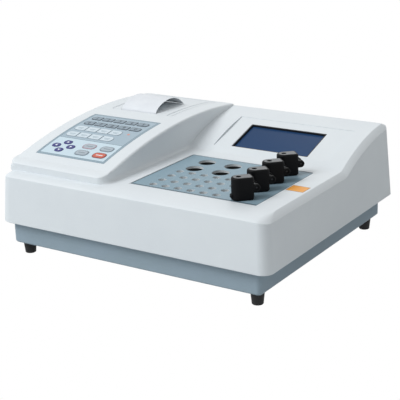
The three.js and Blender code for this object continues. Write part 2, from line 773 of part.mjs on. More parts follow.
// Base pan
function makeBasePan() {
  const flangeLow = rimHeight + panFlangeUp;
  const flangeHigh = flangeLow + panWall;
  const reachX = halfWidthAt(flangeHigh) - caseWall - fitGap;
  const reachY = halfDepthAt(flangeHigh) - caseWall - fitGap;
  const ring = (grow, z) => roundedRing(
    panLeft - grow, panFront - grow, panRight + grow, panBack + grow, panCornerRadius + grow, z,
  );
  const outer = toSolid(loft([
    ring(-panBottomBevel, footHeight),
    ring(0, footHeight + panBottomBevel),
    ring(0, flangeHigh),
  ]));
  const flange = roundedPrism(
    -reachX, -reachY, reachX, reachY, caseCornerRadius - caseWall, flangeLow, flangeHigh,
  );
  const inner = toSolid(loft([
    ring(-panWall, footHeight + panWall),
    ring(-panWall, flangeHigh + cutOverrun),
  ]));
  const bossPlaces = [supplyLeft + supplyEdge, supplyRight - supplyEdge].flatMap(
    (x) => [supplyFront + supplyEdge, supplyBack - supplyEdge].map((y) => [x, y]),
  );
  const floor = footHeight + panWall;
  return bossPlaces.reduce(
    (whole, [x, y]) => whole.add(
      uprightCylinder(supplyBoss, smallSides, x, y, floor - fitGap, floor + supplyBossHeight),
    ),
    outer.add(flange).subtract(inner),
  );
}
addPiece("base_pan", makeBasePan(), { color: 0x8a9aa6, roughness: 0.55, metalness: 0.1 });

// Feet
function makeFoot() {
  const profile = [
    [0, 0],
    [footBottom / 2 - footEdge, 0],
    [footBottom / 2, footEdge],
    [footTop / 2, footHeight],
    [0, footHeight],
  ].map(([radius, z]) => new THREE.Vector2(radius, z));
  const geometry = new THREE.LatheGeometry(profile, reagentSides);
  geometry.rotateX(Math.PI / 2);
  return toSolid(geometry);
}
const footLook = { color: 0x17181a, roughness: 0.8, metalness: 0 };
const footPlaces = { front_left: [-1, -1], front_right: [1, -1], rear_left: [-1, 1], rear_right: [1, 1] };
for (const [place, [sideX, sideY]] of Object.entries(footPlaces)) {
  const foot = addPiece(`foot_${place}`, makeFoot(), footLook);
  foot.position.set(sideX * footX, sideY * footY, 0);
}

// Deck plate, and the places of its wells
const gridPlaces = (firstX, firstY, pitchX, pitchY, columns, rows) => Array.from(
  { length: columns * rows },
  (_, i) => [firstX + pitchX * (i % columns), firstY + pitchY * Math.floor(i / columns)],
);
const cuvettePlaces = gridPlaces(
  cuvetteFirstX, cuvetteFirstY, cuvettePitchX, cuvettePitchY, cuvetteColumns, cuvetteRows,
);
const reagentPlaces = gridPlaces(
  reagentFirstX, reagentFirstY, reagentPitchX, reagentPitchY, reagentColumns, reagentRows,
);
const headPlaces = Array.from({ length: headCount }, (_, i) => [headFirstX, headFirstY + headPitch * i]);
const plateTop = deckHeight - plateSunk;
const plateUnder = plateTop - plateThickness;

function boreAll(solid, places, diameter, sides, low) {
  return places.reduce(
    (whole, [x, y]) => whole.subtract(uprightCylinder(diameter, sides, x, y, low, plateTop + cutOverrun)),
    solid,
  );
}

function makeDeckPlate() {
  const low = plateUnder - cutOverrun;
  let plate = roundedPrism(
    plateLeft, plateFront, plateRight, plateBack, plateCornerRadius, plateUnder, plateTop,
  );
  plate = boreAll(plate, cuvettePlaces, cuvetteDiameter, wellSides, low);
  plate = boreAll(plate, reagentPlaces, reagentDiameter, reagentSides, low);
  return boreAll(plate, headPlaces, measuringWell, wellSides, low);
}
addPiece("deck_plate", makeDeckPlate(), { color: 0x8fa9b5, roughness: 0.45, metalness: 0.2 });

// Heated block under the open wells, and the optical block under the heads
const blockTop = plateUnder - fitGap;
const blockFront = plateFront + plateLedge + fitGap;
const blockBack = plateBack - plateLedge - fitGap;

function makeIncubationBlock() {
  const left = cuvetteFirstX - cuvetteDiameter / 2 - blockMargin;
  const block = boxSolid(
    [left, blockFront, blockTop - blockHeight],
    [moduleLeft - moduleGap, blockBack, blockTop],
  );
  const bored = boreAll(block, cuvettePlaces, cuvetteDiameter, wellSides, blockTop - cuvetteDepth);
  return boreAll(bored, reagentPlaces, reagentDiameter, reagentSides, blockTop - reagentDepth);
}
addPiece("incubation_block", makeIncubationBlock(), { color: 0xb9bdc0, roughness: 0.35, metalness: 1 });

function makeMeasuringModule() {
  const right = plateRight - plateLedge - fitGap;
  const body = boxSolid([moduleLeft, blockFront, blockTop - moduleHeight], [right, blockBack, blockTop]);
  return boreAll(body, headPlaces, measuringWell, wellSides, blockTop - moduleWellDepth);
}
addPiece("measuring_module", makeMeasuringModule(), { color: 0x2a2d30, roughness: 0.5, metalness: 0.3 });

// Measuring heads with their posts and pins
const pivotX = headReach + pivotOut;

function alongY(diameter, sides, x, z, y0, y1) {
  const geometry = new THREE.CylinderGeometry(diameter / 2, diameter / 2, y1 - y0, sides);
  geometry.translate(x, (y0 + y1) / 2, z);
  return toSolid(geometry);
}

function headRing(inset, z) {
  const arc = (x, y, radius, from, count) => steps(from, from + count * Math.PI / headArcSteps, count).map(
    (angle) => [x + radius * Math.cos(angle), y + radius * Math.sin(angle), z],
  );
  const cornerX = headReach - headEdge;
  const cornerY = headWidth / 2 - headEdge;
  return [
    ...arc(0, 0, headWidth / 2 - inset, Math.PI / 2, headArcSteps),
    ...arc(cornerX, -cornerY, headEdge - inset, -Math.PI / 2, headArcSteps / 2),
    ...arc(cornerX, cornerY, headEdge - inset, 0, headArcSteps / 2),
  ];
}

// Rings of the outline, drawn in towards the top so that the upper edge is rounded
function headBody() {
  const levels = steps(0, Math.PI / 2, arcSteps - 1).map((angle) => [
    (headEdge - fitGap) * (1 - Math.cos(angle)),
    headHeight - headEdge + headEdge * Math.sin(angle),
  ]);
  return toSolid(loft([[0, headLift], ...levels].map(([inset, z]) => headRing(inset, z))));
}

function makeHead() {
  const half = headWidth / 2;
  const knuckle = alongY(knuckleRadius * 2, wellSides, pivotX, pivotUp, -half, half);
  const web = boxSolid(
    [headReach - headEdge, -half + fitGap, pivotUp - knuckleRadius],
    [pivotX, half - fitGap, pivotUp + knuckleRadius],
  );
  const lip = boxSolid(
    [-half - liftLipOut, -liftLipWidth / 2, liftLipUp],
    [-half + headEdge, liftLipWidth / 2, liftLipUp + liftLipHeight],
  );
  const slot = boxSolid(
    [pivotX - slotReach, -slotWidth / 2, headLift - cutOverrun],
    [pivotX + knuckleRadius + cutOverrun, slotWidth / 2, pivotUp + slotAbove],
  );
  const corner = boxSolid(
    [headReach - headCornerCut, -headWidth, headLift - cutOverrun],
    [headReach + cutOverrun, headWidth, headLift + headCornerCut],
  ).subtract(alongY(
    headCornerCut * 2, wellSides, headReach - headCornerCut, headLift + headCornerCut, -headWidth, headWidth,
  ));
  return headBody().add(knuckle).add(web).add(lip)
    .subtract(slot)
    .subtract(corner)
    .subtract(uprightCylinder(pipetteHole, smallSides, 0, 0, headLift - cutOverrun, headHeight + cutOverrun))
    .subtract(alongY(hingeBore, smallSides, pivotX, pivotUp, -headWidth, headWidth));
}

function makePost() {
  const half = postWidth / 2;
  const upright = boxSolid(
    [pivotX - postBehind, -half, 0],
    [pivotX - postBehind + postThickness, half, pivotUp + postArmHalf],
  );
  const arm = boxSolid(
    [pivotX - postBehind, -half, pivotUp - postArmHalf],
    [pivotX, half, pivotUp + postArmHalf],
  );
  const eye = alongY(postArmHalf * 2, smallSides, pivotX, pivotUp, -half, half);
  const bore = alongY(hingeBore, smallSides, pivotX, pivotUp, -headWidth, headWidth);
  return upright.add(arm).add(eye).subtract(bore);
}

const headLook = { color: 0x15181a, roughness: 0.4, metalness: 0 };
const postLook = { color: 0x9ea3a6, roughness: 0.4, metalness: 1 };
const pinLook = { color: 0xc4c8ca, roughness: 0.25, metalness: 1 };
headPlaces.forEach(([x, y], i) => {
  const station = new THREE.Group();
  station.position.set(x, y, plateTop);
  station.rotation.z = headTurn * degrees;
  analyser.add(station);
  const pinReach = headWidth / 2 - hingePinInset;
  addPiece(`measuring_head_${i + 1}`, makeHead(), headLook, station);
  addPiece(`hinge_post_${i + 1}`, makePost(), postLook, station);
  const pin = alongY(hingePinDiameter, smallSides, pivotX, pivotUp, -pinReach, pinReach);
  addPiece(`hinge_pin_${i + 1}`, pin, pinLook, station);
});

// Display
const fieldGroup = new THREE.Group();
fieldGroup.rotation.x = fieldAngle;
fieldGroup.position.set(0, fieldFront, humpHeight(fieldFront));
analyser.add(fieldGroup);

function makeDisplayModule() {
  const left = displayLeft + fitGap;
  const right = displayLeft + displayWidth - fitGap;
  const front = fieldStart + fitGap;
  const back = fieldStart + displayLength - fitGap;
  const pocketFloor = -displayDepth - displayGlass - fitGap;
  const flangeTop = -caseWall - fitGap;
  const rim = boxSolid([left, front, pocketFloor - displayBody], [right, back, -fitGap]);
  const flange = boxSolid(
    [left - displayFlange, front - displayFlange, flangeTop - displayFlangeThickness],
    [right + displayFlange, back + displayFlange, flangeTop],
  );
  const pocket = boxSolid(
    [left + displayRimWall, front + displayRimWall, pocketFloor],
    [right - displayRimWall, back - displayRimWall, cutOverrun],
  );
  return rim.add(flange).subtract(pocket);
}
const glassInset = fitGap * 2 + displayRimWall;
const moduleLook = { color: 0x0b0d10, roughness: 0.5, metalness: 0 };
addPiece("display_module", makeDisplayModule(), moduleLook, fieldGroup);
addPiece("display_window", boxSolid(
  [displayLeft + glassInset, fieldStart + glassInset, -displayDepth - displayGlass],
  [displayLeft + displayWidth - glassInset, fieldStart + displayLength - glassInset, -displayDepth],
), { color: 0x3b4f70, roughness: 0.1, metalness: 0 }, fieldGroup);

// Keys, listed by row from the back of the keypad to its front
const columnX = (i) => keypadCentreX - keyColumnShift + digitPitchX * (i - (digitColumns - 1) / 2);
const digitPlaces = (y, firstNumber) => Array.from({ length: digitColumns }, (_, i) => ({
  name: `number_key_${(firstNumber + i) % 10}`,
  x: columnX(i),
  y,
  length: digitLength,
  breadth: digitBreadth,
  look: { color: 0x8796a2, roughness: 0.5, metalness: 0 },
}));
const softPlaces = (y, firstNumber) => Array.from({ length: softColumns }, (_, i) => ({
  name: `soft_key_${firstNumber + i}`,
  x: columnX(i),
  y,
  length: softLength,
  breadth: softBreadth,
  look: { color: 0xc9d8e0, roughness: 0.5, metalness: 0 },
}));
const arrowPlaces = Object.entries({ left: [-1, 0], up: [0, 1], down: [0, -1], right: [1, 0] }).map(
  ([side, [stepX, stepY]]) => ({
    name: `arrow_key_${side}`,
    x: arrowCentreX + arrowStepX * stepX,
    y: arrowCentreY + arrowStepY * stepY,
    length: arrowLength,
    breadth: arrowBreadth,
    look: { color: 0x1a1f7a, roughness: 0.4, metalness: 0 },
  }),
);
const commandPlaces = Object.entries({
  back_left: [commandLeftX, commandBackY],
  back_right: [commandRightX, commandBackY],
  front_left: [commandLeftX, commandFrontY],
  red: [commandRightX, commandFrontY],
}).map(([place, [x, y]]) => ({
  name: `command_key_${place}`,
  x,
  y,
  length: commandLength,
  breadth: commandBreadth,
  look: { color: place === "red" ? 0xc8523c : 0xaab4ba, roughness: 0.5, metalness: 0 },
}));
function addKeypad() {
  const keys = [
    ...digitPlaces(digitRowBack, 1),
    ...digitPlaces(digitRowFront, 6),
    ...softPlaces(softRowBack, 1),
    ...softPlaces(softRowFront, 5),
    ...arrowPlaces,
    ...commandPlaces,
  ];
  const overlayTop = keypadThickness + fitGap - keypadRecess;
  let overlay = crownSlab(
    keypadLeft, keypadRight, keypadFront, keypadBack, fitGap - keypadRecess, overlayTop,
  );
  for (const key of keys) {
    const stand = new THREE.Group();
    stand.position.set(key.x, key.y, towerTop(key.y));
    const climb = towerTop(key.y + key.breadth / 2) - towerTop(key.y - key.breadth / 2);
    stand.rotation.x = Math.atan2(climb, key.breadth);
    stand.updateMatrix();
    analyser.add(stand);
    const top = overlayTop + keyProud;
    const hole = new THREE.ExtrudeGeometry(
      stadium(key.length, key.breadth, fitGap),
      { depth: cutOverrun * 2, bevelEnabled: false, curveSegments: keySegments },
    );
    hole.translate(0, 0, -cutOverrun);
    hole.applyMatrix4(stand.matrix);
    overlay = overlay.subtract(toSolid(hole));
    const body = new THREE.ExtrudeGeometry(stadium(key.length, key.breadth, -keyBevel), {
      depth: keyHeight - keyBevel * 2,
      bevelEnabled: true,
      bevelThickness: keyBevel,
      bevelSize: keyBevel,
      bevelSegments: 1,
      curveSegments: keySegments,
    });
    body.translate(0, 0, top - keyHeight + keyBevel);
    addPiece(key.name, toSolid(body), key.look, stand);
  }
  addPiece("keypad_overlay", overlay, { color: 0x9fb0bd, roughness: 0.5, metalness: 0 });
}

addKeypad();

// Printer cover, hinged at its back
const stubLeft = coverLeft - coverStubLength;
const stubRight = coverRight + coverStubLength;
const paperLeft = paperCentreX - paperWidth / 2;
const paperRight = paperCentreX + paperWidth / 2;
const bayLeft = paperLeft - paperSideGap;
const bayRight = paperRight + paperSideGap;

function makePrinterCover() {
  const plate = crownSlab(coverLeft, coverRight, coverFront, coverBack, -coverThickness, 0);
  const hingeRod = (radius, x0, x1) => lyingCylinder(
    radius * 2, smallSides, x0, x1, coverHingeY, coverHingeZ,
  );
  const barrel = hingeRod(coverBarrelRadius, coverLeft, coverRight);
  const stubs = hingeRod(coverStubRadius, stubLeft, stubRight);
  const slot = boxSolid(
    [bayLeft, coverFront - cutOverrun, towerTop(coverFront) - coverThickness - cutOverrun],
    [bayRight, coverFront + paperSlot, towerTop(coverFront) + cutOverrun],
  );
  return plate.add(barrel).add(stubs).subtract(slot);
}
addPiece("printer_cover", makePrinterCover(), casingLook);

// Strip of paper that curls back out of the slot
const paperExitY = coverFront + paperSlot / 2;

function makePaperStrip() {
  const exitZ = towerTop(paperExitY);
  const landZ = towerTop(paperLandY) + paperLift + paperThickness;
  const points = paperLoopShares.map(([along, up]) => new THREE.Vector2(
    paperExitY + (paperLandY - paperExitY) * along,
    exitZ + (landZ - exitZ) * along + paperRise * up,
  ));
  const line = [new THREE.Vector2(paperExitY, exitZ - paperTail), ...points];
  const side = (sign) => line.map((point, i) => {
    const before = line[Math.max(i - 1, 0)];
    const after = line[Math.min(i + 1, line.length - 1)];
    const away = after.clone().sub(before).normalize().multiplyScalar(sign * paperThickness / 2);
    return [point.x - away.y, point.y + away.x];
  });
  return sidePrism([...side(-1), ...side(1).reverse()], paperLeft, paperRight);
}
addPiece("paper_strip", makePaperStrip(), { color: 0xeef2f4, roughness: 0.8, metalness: 0 });

// Printer frame: an open tub under the cover, in three bays, with spindle stubs and the print head
function makePrinterFrame() {
  const left = coverLeft - frameLedge - frameWall;
  const right = coverRight + frameLedge + frameWall;
  const floor = rollZ - rollDiameter / 2 - rollClear;
  const top = stationsBetween(frameFront, frameBack).map((y) => [y, towerTop(y) - caseWall - fitGap]);
  const under = [[frameFront, floor - frameFloor], [frameBack, floor - frameFloor]];
  let frame = sidePrism([...under, ...top.reverse()], left, right);
  const bays = [
    [left + frameWall, bayLeft - frameGuide],
    [bayLeft, bayRight],
    [bayRight + frameGuide, right - frameWall],
  ];
  for (const [x0, x1] of bays) {
    frame = frame.subtract(boxSolid(
      [x0, frameFront + frameWall, floor],
      [x1, frameBack - frameWall, towerCrownZ + cutOverrun],
    ));
  }
  const spindle = (rollCore / 2 - fitGap) * 2;
  const stub = paperSideGap + spindleReach;
  const headBack = platenY - platenDiameter / 2 - printHeadGap;
  return frame
    .add(lyingCylinder(spindle, wellSides, bayLeft - fitGap, bayLeft + stub, rollY, rollZ))
    .add(lyingCylinder(spindle, wellSides, bayRight - stub, bayRight + fitGap, rollY, rollZ))
    .add(boxSolid(
      [bayLeft - fitGap, headBack - printHeadThickness, platenZ - printHeadHeight / 2],
      [bayRight + fitGap, headBack, platenZ + printHeadHeight / 2],
    ))
    .subtract(lyingCylinder(
      platenBore, smallSides, bayLeft - frameGuide - cutOverrun, bayRight + frameGuide + cutOverrun,
      platenY, platenZ,
    ));
}
addPiece("printer_mechanism", makePrinterFrame(), { color: 0x24272a, roughness: 0.5, metalness: 0 });

const platenLeft = bayLeft + fitGap * 2;
const platenRight = bayRight - fitGap * 2;
const platen = lyingCylinder(platenDiameter, wellSides, platenLeft, platenRight, platenY, platenZ).add(
  lyingCylinder(platenShaft, smallSides, bayLeft - frameGuide, bayRight + frameGuide, platenY, platenZ),
);
addPiece("platen_roller", platen, { color: 0x1b1c1e, roughness: 0.8, metalness: 0 });

const paperRoll = lyingCylinder(rollDiameter, rollSides, paperLeft, paperRight, rollY, rollZ).subtract(
  lyingCylinder(rollCore, wellSides, paperLeft - cutOverrun, paperRight + cutOverrun, rollY, rollZ),
);
addPiece("paper_roll", paperRoll, { color: 0xe9edf0, roughness: 0.8, metalness: 0 });

// Rear panel, with standoffs for the main board
const boardFace = rearFace - rearThickness + fitGap - portDeep;
const standoffPlaces = [boardLeft + boardEdge, boardRight - boardEdge].flatMap(
  (x) => [boardLow + boardEdge, boardHigh - boardEdge].map((z) => [x, z]),
);

function alongDepth(diameter, sides, x, z, y0, y1) {
  const geometry = new THREE.CylinderGeometry(diameter / 2, diameter / 2, y1 - y0, sides);
  geometry.translate(x, (y0 + y1) / 2, z);
  return toSolid(geometry);
}

function makeRearPanel() {
  const inner = rearFace - rearThickness;
  const through = ([x, width, height, z]) => boxSolid(
    [x - width / 2, inner - cutOverrun, z - height / 2],
    [x + width / 2, rearFace + cutOverrun, z + height / 2],
  );
  const vents = Array.from({ length: ventCount }, (_, i) => [
    ventFirstX + ventPitch * i, ventWidth, ventHeight, (rearLow + rearHigh) / 2,
  ]);
  const cuts = [
    [inletCentreX, inletWidth + fitGap * 2, inletHeight + fitGap * 2, inletCentreZ],
    [portCentreX, portWidth + fitGap * 2, portHeight + fitGap * 2, inletCentreZ],
    ...vents,
  ];
  const plate = boxSolid(
    [rearLeft - rearLap, inner, rearLow - rearLap],
    [rearRight + rearLap, rearFace, rearHigh + rearLap],
  );
  const stood = standoffPlaces.reduce(
    (whole, [x, z]) => whole.add(
      alongDepth(standoffDiameter, smallSides, x, z, boardFace + fitGap, inner + fitGap),
    ),
    plate,
  );
  return cuts.reduce((whole, cut) => whole.subtract(through(cut)), stood);
}
addPiece("rear_panel", makeRearPanel(), { color: 0x8a9aa6, roughness: 0.5, metalness: 0.6 });

// Main board, upright behind the rear panel, with its data port
function makeMainBoard() {
  const width = boardRight - boardLeft;
  const height = boardHigh - boardLow;
  const back = boardFace - boardThickness;
  const board = boxSolid([boardLeft, back, boardLow], [boardRight, boardFace, boardHigh]);
  const port = boxSolid(
    [portCentreX - portWidth / 2, boardFace - fitGap, inletCentreZ - portHeight / 2],
    [portCentreX + portWidth / 2, rearFace + portProud, inletCentreZ + portHeight / 2],
  );
  return boardPartShares.reduce((whole, { middleShares, sizeShares, heightShare }) => {
    const x = boardLeft + width * middleShares[0];
    const z = boardLow + height * middleShares[1];
    const reachX = width * sizeShares[0] / 2;
    const reachZ = height * sizeShares[1] / 2;
    return whole.add(boxSolid(
      [x - reachX, back - height * heightShare, z - reachZ],
      [x + reachX, back + fitGap, z + reachZ],
    ));
  }, board.add(port));
}
addPiece("main_board", makeMainBoard(), { color: 0x2f6b45, roughness: 0.5, metalness: 0 });

// Mains inlet with its switch housing
const socketX = inletCentreX + socketOffset;
const rockerX = inletCentreX + rockerOffset;
const inletFace = rearFace + inletFlange;
const rockerY = inletFace - rockerPivotDeep;

function makePowerInlet() {
  const reachX = inletWidth / 2;
  const reachZ = inletHeight / 2;
  const body = boxSolid(
    [inletCentreX - reachX, rearFace - inletDeep, inletCentreZ - reachZ],
    [inletCentreX + reachX, rearFace + fitGap * 2, inletCentreZ + reachZ],
  );
  const flange = boxSolid(
    [inletCentreX - reachX - inletLap, rearFace + fitGap, inletCentreZ - reachZ - inletLap],
    [inletCentreX + reachX + inletLap, inletFace, inletCentreZ + reachZ + inletLap],
  );
  const socket = boxSolid(
    [socketX - socketWidth / 2, inletFace - socketDeep, inletCentreZ - socketHeight / 2],
    [socketX + socketWidth / 2, inletFace + cutOverrun, inletCentreZ + socketHeight / 2],
  );
  const pocketX = rockerWidth / 2 + fitGap;
  const pocketZ = rockerHeight / 2 + rockerGap;
  const pocket = boxSolid(
    [rockerX - pocketX, inletFace - rockerDeep, inletCentreZ - pocketZ],
    [rockerX + pocketX, inletFace + cutOverrun, inletCentreZ + pocketZ],
  );
  const pivotReach = rockerWidth / 2 + rockerPivotOut + fitGap;
  const pivot = lyingCylinder(
    rockerPivot + fitGap * 2, smallSides, rockerX - pivotReach, rockerX + pivotReach, rockerY, inletCentreZ,
  );
  const bladePlaces = [
    [-socketPinPitch, -socketPinDrop],
    [socketPinPitch, -socketPinDrop],
    [0, socketPinDrop],
  ];
  const hollow = body.add(flange).subtract(socket).subtract(pocket).subtract(pivot);
  const halfX = socketPinWidth / 2;
  const halfZ = socketPinHeight / 2;
  const root = inletFace - socketDeep;
  return bladePlaces.reduce((whole, [across, up]) => whole.add(boxSolid(
    [socketX + across - halfX, root - fitGap, inletCentreZ + up - halfZ],
    [socketX + across + halfX, root + socketPinLength, inletCentreZ + up + halfZ],
  )), hollow);
}
addPiece("power_inlet", makePowerInlet(), { color: 0x1a1b1d, roughness: 0.5, metalness: 0 });

// Rocker, resting with its upper end pressed in
function makeRocker() {
  const half = rockerHeight / 2;
  const face = rockerPivotDeep + rockerProud;
  const base = rockerPivotDeep - rockerDeep + rockerGap * 2;
  const outline = [
    [base, -half / 2],
    [rockerPivot, -half],
    [face, -half],
    [face - rockerHollow, 0],
    [face, half],
    [rockerPivot, half],
    [base, half / 2],
  ];
  const pivotReach = rockerWidth / 2 + rockerPivotOut;
  return sidePrism(outline, -rockerWidth / 2, rockerWidth / 2).add(
    lyingCylinder(rockerPivot, smallSides, -pivotReach, pivotReach, 0, 0),
  );
}
const rocker = addPiece("power_switch", makeRocker(), { color: 0x121314, roughness: 0.4, metalness: 0 });
rocker.position.set(rockerX, rockerY, inletCentreZ);
rocker.rotation.x = rockerTilt * degrees;

// Power supply on bosses of the base pan
function makePowerSupply() {
  const low = footHeight + panWall + supplyBossHeight + fitGap;
  const width = supplyRight - supplyLeft;
  const depth = supplyBack - supplyFront;
  const board = boxSolid([supplyLeft, supplyFront, low], [supplyRight, supplyBack, low + supplyBoard]);
  return supplyPartShares.reduce((whole, { middleShares, sizeShares, heightShare }) => {
    const x = supplyLeft + width * middleShares[0];
    const y = supplyFront + depth * middleShares[1];
    const reachX = width * sizeShares[0] / 2;
    const reachY = depth * sizeShares[1] / 2;
    const top = low + supplyBoard + depth * heightShare;
    return whole.add(boxSolid(
      [x - reachX, y - reachY, low + supplyBoard - fitGap],
      [x + reachX, y + reachY, top],
    ));
  }, board);
}
addPiece("power_supply", makePowerSupply(), { color: 0x3a6b4a, roughness: 0.5, metalness: 0 });

export default analyser;
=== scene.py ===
# Looks for a bench blood-clotting analyser: a satin white case with a keypad tower, a strip printer,
# a sloped display, open wells and four black measuring heads.
# Lengths in the dictionaries are millimetres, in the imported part's own frame.
import math

import bpy
import numpy as np
from mathutils import Matrix


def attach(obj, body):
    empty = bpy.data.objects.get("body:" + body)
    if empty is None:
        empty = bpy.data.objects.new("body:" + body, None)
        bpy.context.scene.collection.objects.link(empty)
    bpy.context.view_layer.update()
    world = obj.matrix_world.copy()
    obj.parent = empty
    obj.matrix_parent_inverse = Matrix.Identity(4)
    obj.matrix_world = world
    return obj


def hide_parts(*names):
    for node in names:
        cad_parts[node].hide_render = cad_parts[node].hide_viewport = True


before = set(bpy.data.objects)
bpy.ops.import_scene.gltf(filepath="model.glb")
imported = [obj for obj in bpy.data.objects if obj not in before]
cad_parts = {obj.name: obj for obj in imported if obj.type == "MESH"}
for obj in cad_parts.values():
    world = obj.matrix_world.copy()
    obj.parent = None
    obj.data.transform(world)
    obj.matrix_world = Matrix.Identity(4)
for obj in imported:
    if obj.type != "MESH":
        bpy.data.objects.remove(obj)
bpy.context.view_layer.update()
print("frame loaded with", len(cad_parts), "nodes")

metre = 1000.0
quarter = math.pi / 2
hair = 0.05    # keeps two faces from lying in one plane
fit = 0.3      # gap round a piece that is let into the case
overrun = 5    # how far a cut goes past the surface
margin = 1     # the same for a small cut, and for tests of which faces lie inside

# The leaning walls and the two crowned tops. Corners are upright edges: a pair is the front and the
# back radius, first at the right. Insets are left, right, front, back, and drops front, side, back.
case = {
    "width": 400, "depth": 338, "rim": 46, "deck": 112, "wall": 3, "draft": 0.065, "rimEdge": 1.2,
    "humpRadius": 323, "humpCrownY": 180, "humpCrownZ": 145.4, "humpFoot": 9,
    "corners": ((14, 4), (18, 4)), "innerCorners": ((5, 3), (9, 3)),
    "insets": (7, 7, 28, 2), "drops": (5.5, 7, 2), "flatShare": 0.85, "frontFlatShare": 0,
    "roughTop": 118, "stations": ((-128, 20, 8), (20, 52, 26), (52, 145, 24)),
}
tower = {
    "radius": 690, "crownY": 66, "crownZ": 153.6, "right": -41, "front": -148, "base": 98,
    "corners": ((12, 4), (12, 4)), "innerCorners": ((5, 3), (5, 3)),
    "insets": (2.5, 3, 15, 2), "drops": (4.4, 3, 2), "flatShare": 0.2, "frontFlatShare": 0.2,
    "roughTop": 145, "stations": ((-126, 143, 60),),
}


# Shapes. A part is a pair: an array of points in millimetres, and a list of faces. A box is
# (left, right, front, back), and a level is a pair of inset and height.
def halfWidthAt(z):
    return case["width"] / 2 - case["draft"] * (z - case["rim"])


def halfDepthAt(z):
    return case["depth"] / 2 - case["draft"] * (z - case["rim"])


# Arc through the crown: z = crownZ - radius + square root of (radius^2 - (y - crownY)^2)
def arcHeight(y, crownY, crownZ, radius):
    return crownZ - radius + np.sqrt(radius ** 2 - (np.asarray(y, float) - crownY) ** 2)


def towerHeight(y):
    return arcHeight(y, tower["crownY"], tower["crownZ"], tower["radius"])


def humpHeight(y):
    return arcHeight(y, case["humpCrownY"], case["humpCrownZ"], case["humpRadius"])


rise = case["humpRadius"] - case["humpCrownZ"] + case["deck"]
humpFootY = case["humpCrownY"] - math.sqrt(case["humpRadius"] ** 2 - rise ** 2)


# Flat deck, then a parabola over the foot's length, then the hump's arc
def deckHeightAt(y):
    y = np.asarray(y, float)
    start, end = humpFootY - case["humpFoot"] / 2, humpFootY + case["humpFoot"] / 2
    share = np.clip((y - start) / (end - start), 0, 1)
    foot = case["deck"] + (humpHeight(end) - case["deck"]) * share ** 2
    return np.where(y < start, case["deck"], np.where(y < end, foot, humpHeight(np.maximum(y, end))))


def joined(*parts):
    points, faces, start = [], [], 0
    for partPoints, partFaces in parts:
        points.append(np.asarray(partPoints, float))
        faces += [[index + start for index in face] for face in partFaces]
        start += len(partPoints)
    return np.concatenate(points), faces


def placed(part, matrix):
    turn = np.array(matrix)
    return part[0] @ turn[:3, :3].T + turn[:3, 3], part[1]


def turnMetres(matrix):
    # the same turn, with the shift in metres
    scaled = matrix.copy()
    scaled.translation = matrix.translation / metre
    return scaled


def grown(box, by):
    left, right, front, back = box
    return left - by, right + by, front - by, back + by


def boxOf(row, by=0.0):
    return grown((row["left"], row["right"], row["front"], row["back"]), by)


def pointsAt(x, y, z):
    return np.stack(np.broadcast_arrays(x, y, z), -1)


# Skin over a row of closed rings: quads between rings, and on each end a flat cap, or strips that
# join the ring's right half to its left half, so that a cap can be curved along Y.
def skin(rings, caps="flat", closed=False):
    rings = np.asarray(rings, float)
    ringCount, perRing = rings.shape[:2]
    pairs = ringCount if closed else ringCount - 1
    ring, place = np.meshgrid(np.arange(pairs), np.arange(perRing), indexing="ij")
    ahead, beside = (ring + 1) % ringCount * perRing, (place + 1) % perRing
    corners = [ring * perRing + place, ring * perRing + beside, ahead + beside, ahead + place]
    faces = np.stack(corners, -1).reshape(-1, 4).tolist()
    last = (ringCount - 1) * perRing
    if caps == "flat" and not closed:
        faces += [list(range(perRing))[::-1], list(range(last, last + perRing))]
    if caps == "strips":
        step = np.arange(perRing // 2 - 1)
        top = np.stack([step, step + 1, perRing - 2 - step, perRing - 1 - step], -1)
        faces += top[:, ::-1].tolist() + (top + last).tolist()
    return rings.reshape(-1, 3), faces


# Half an outline from front to back: quarter arc, straight side, quarter arc. On an arc of radius r,
# x = side - sign * r * (1 - cos a), y = front + r * (1 + sin a) or back - r * (1 - sin a)
def halfOutline(side, front, back, radii, stations, steps, sign):
    arc = steps + 1
    runs = [arc, len(stations), arc]
    angle = np.concatenate([np.linspace(-quarter, 0, arc), np.zeros(runs[1]), np.linspace(0, quarter, arc)])
    radius = np.repeat([radii[0], 0.0, radii[1]], runs)
    x = side - sign * radius * (1 - np.cos(angle))
    inFront = np.arange(sum(runs)) < arc
    y = np.where(inFront, front + radius * (1 + np.sin(angle)), back - radius * (1 - np.sin(angle)))
    y[arc:arc + len(stations)] = stations
    return x, y


# Whole outline: its right half from front to back, then its left half from back to front
def wholeOutline(box, corners, stations, steps):
    left, right, front, back = box
    rightX, rightY = halfOutline(right, front, back, corners[0], stations, steps, 1)
    leftX, leftY = halfOutline(left, front, back, corners[1], stations, steps, -1)
    return np.concatenate([rightX, leftX[::-1]]), np.concatenate([rightY, leftY[::-1]])


# Outline of a box drawn in by an inset, its corner radii less by as much
def insetOutline(box, inset, corners, stations=(), steps=6):
    shrunk = np.maximum(np.broadcast_to(corners, (2, 2)) - inset, hair)
    return wholeOutline(grown(box, -inset), shrunk, stations, steps)


def flatRings(levels, box, corners, steps=6):
    return [pointsAt(*insetOutline(box, inset, corners, (), steps), z) for inset, z in levels]


def slab(levels, box, corners, steps=6):
    return skin(flatRings(levels, box, corners, steps))


# Levels of a slab with its lower and its upper edge chamfered
def chamfered(low, high, lowEdge, highEdge):
    return [(lowEdge, low), (0, low + lowEdge), (0, high - highEdge), (highEdge, high)]


# Levels of an upper edge rounded in two steps. At 45 degrees 0.3 of it is left, near 1 - sin 45.
def roundedOver(top, edge):
    return [(0, top - edge), (edge * 0.3, top - edge * 0.3), (edge, top)]


def boxPart(x0, x1, y0, y1, z0, z1):
    ring = [(x0, y0), (x1, y0), (x1, y1), (x0, y1)]
    return skin([[(x, y, z) for x, y in ring] for z in (z0, z1)])


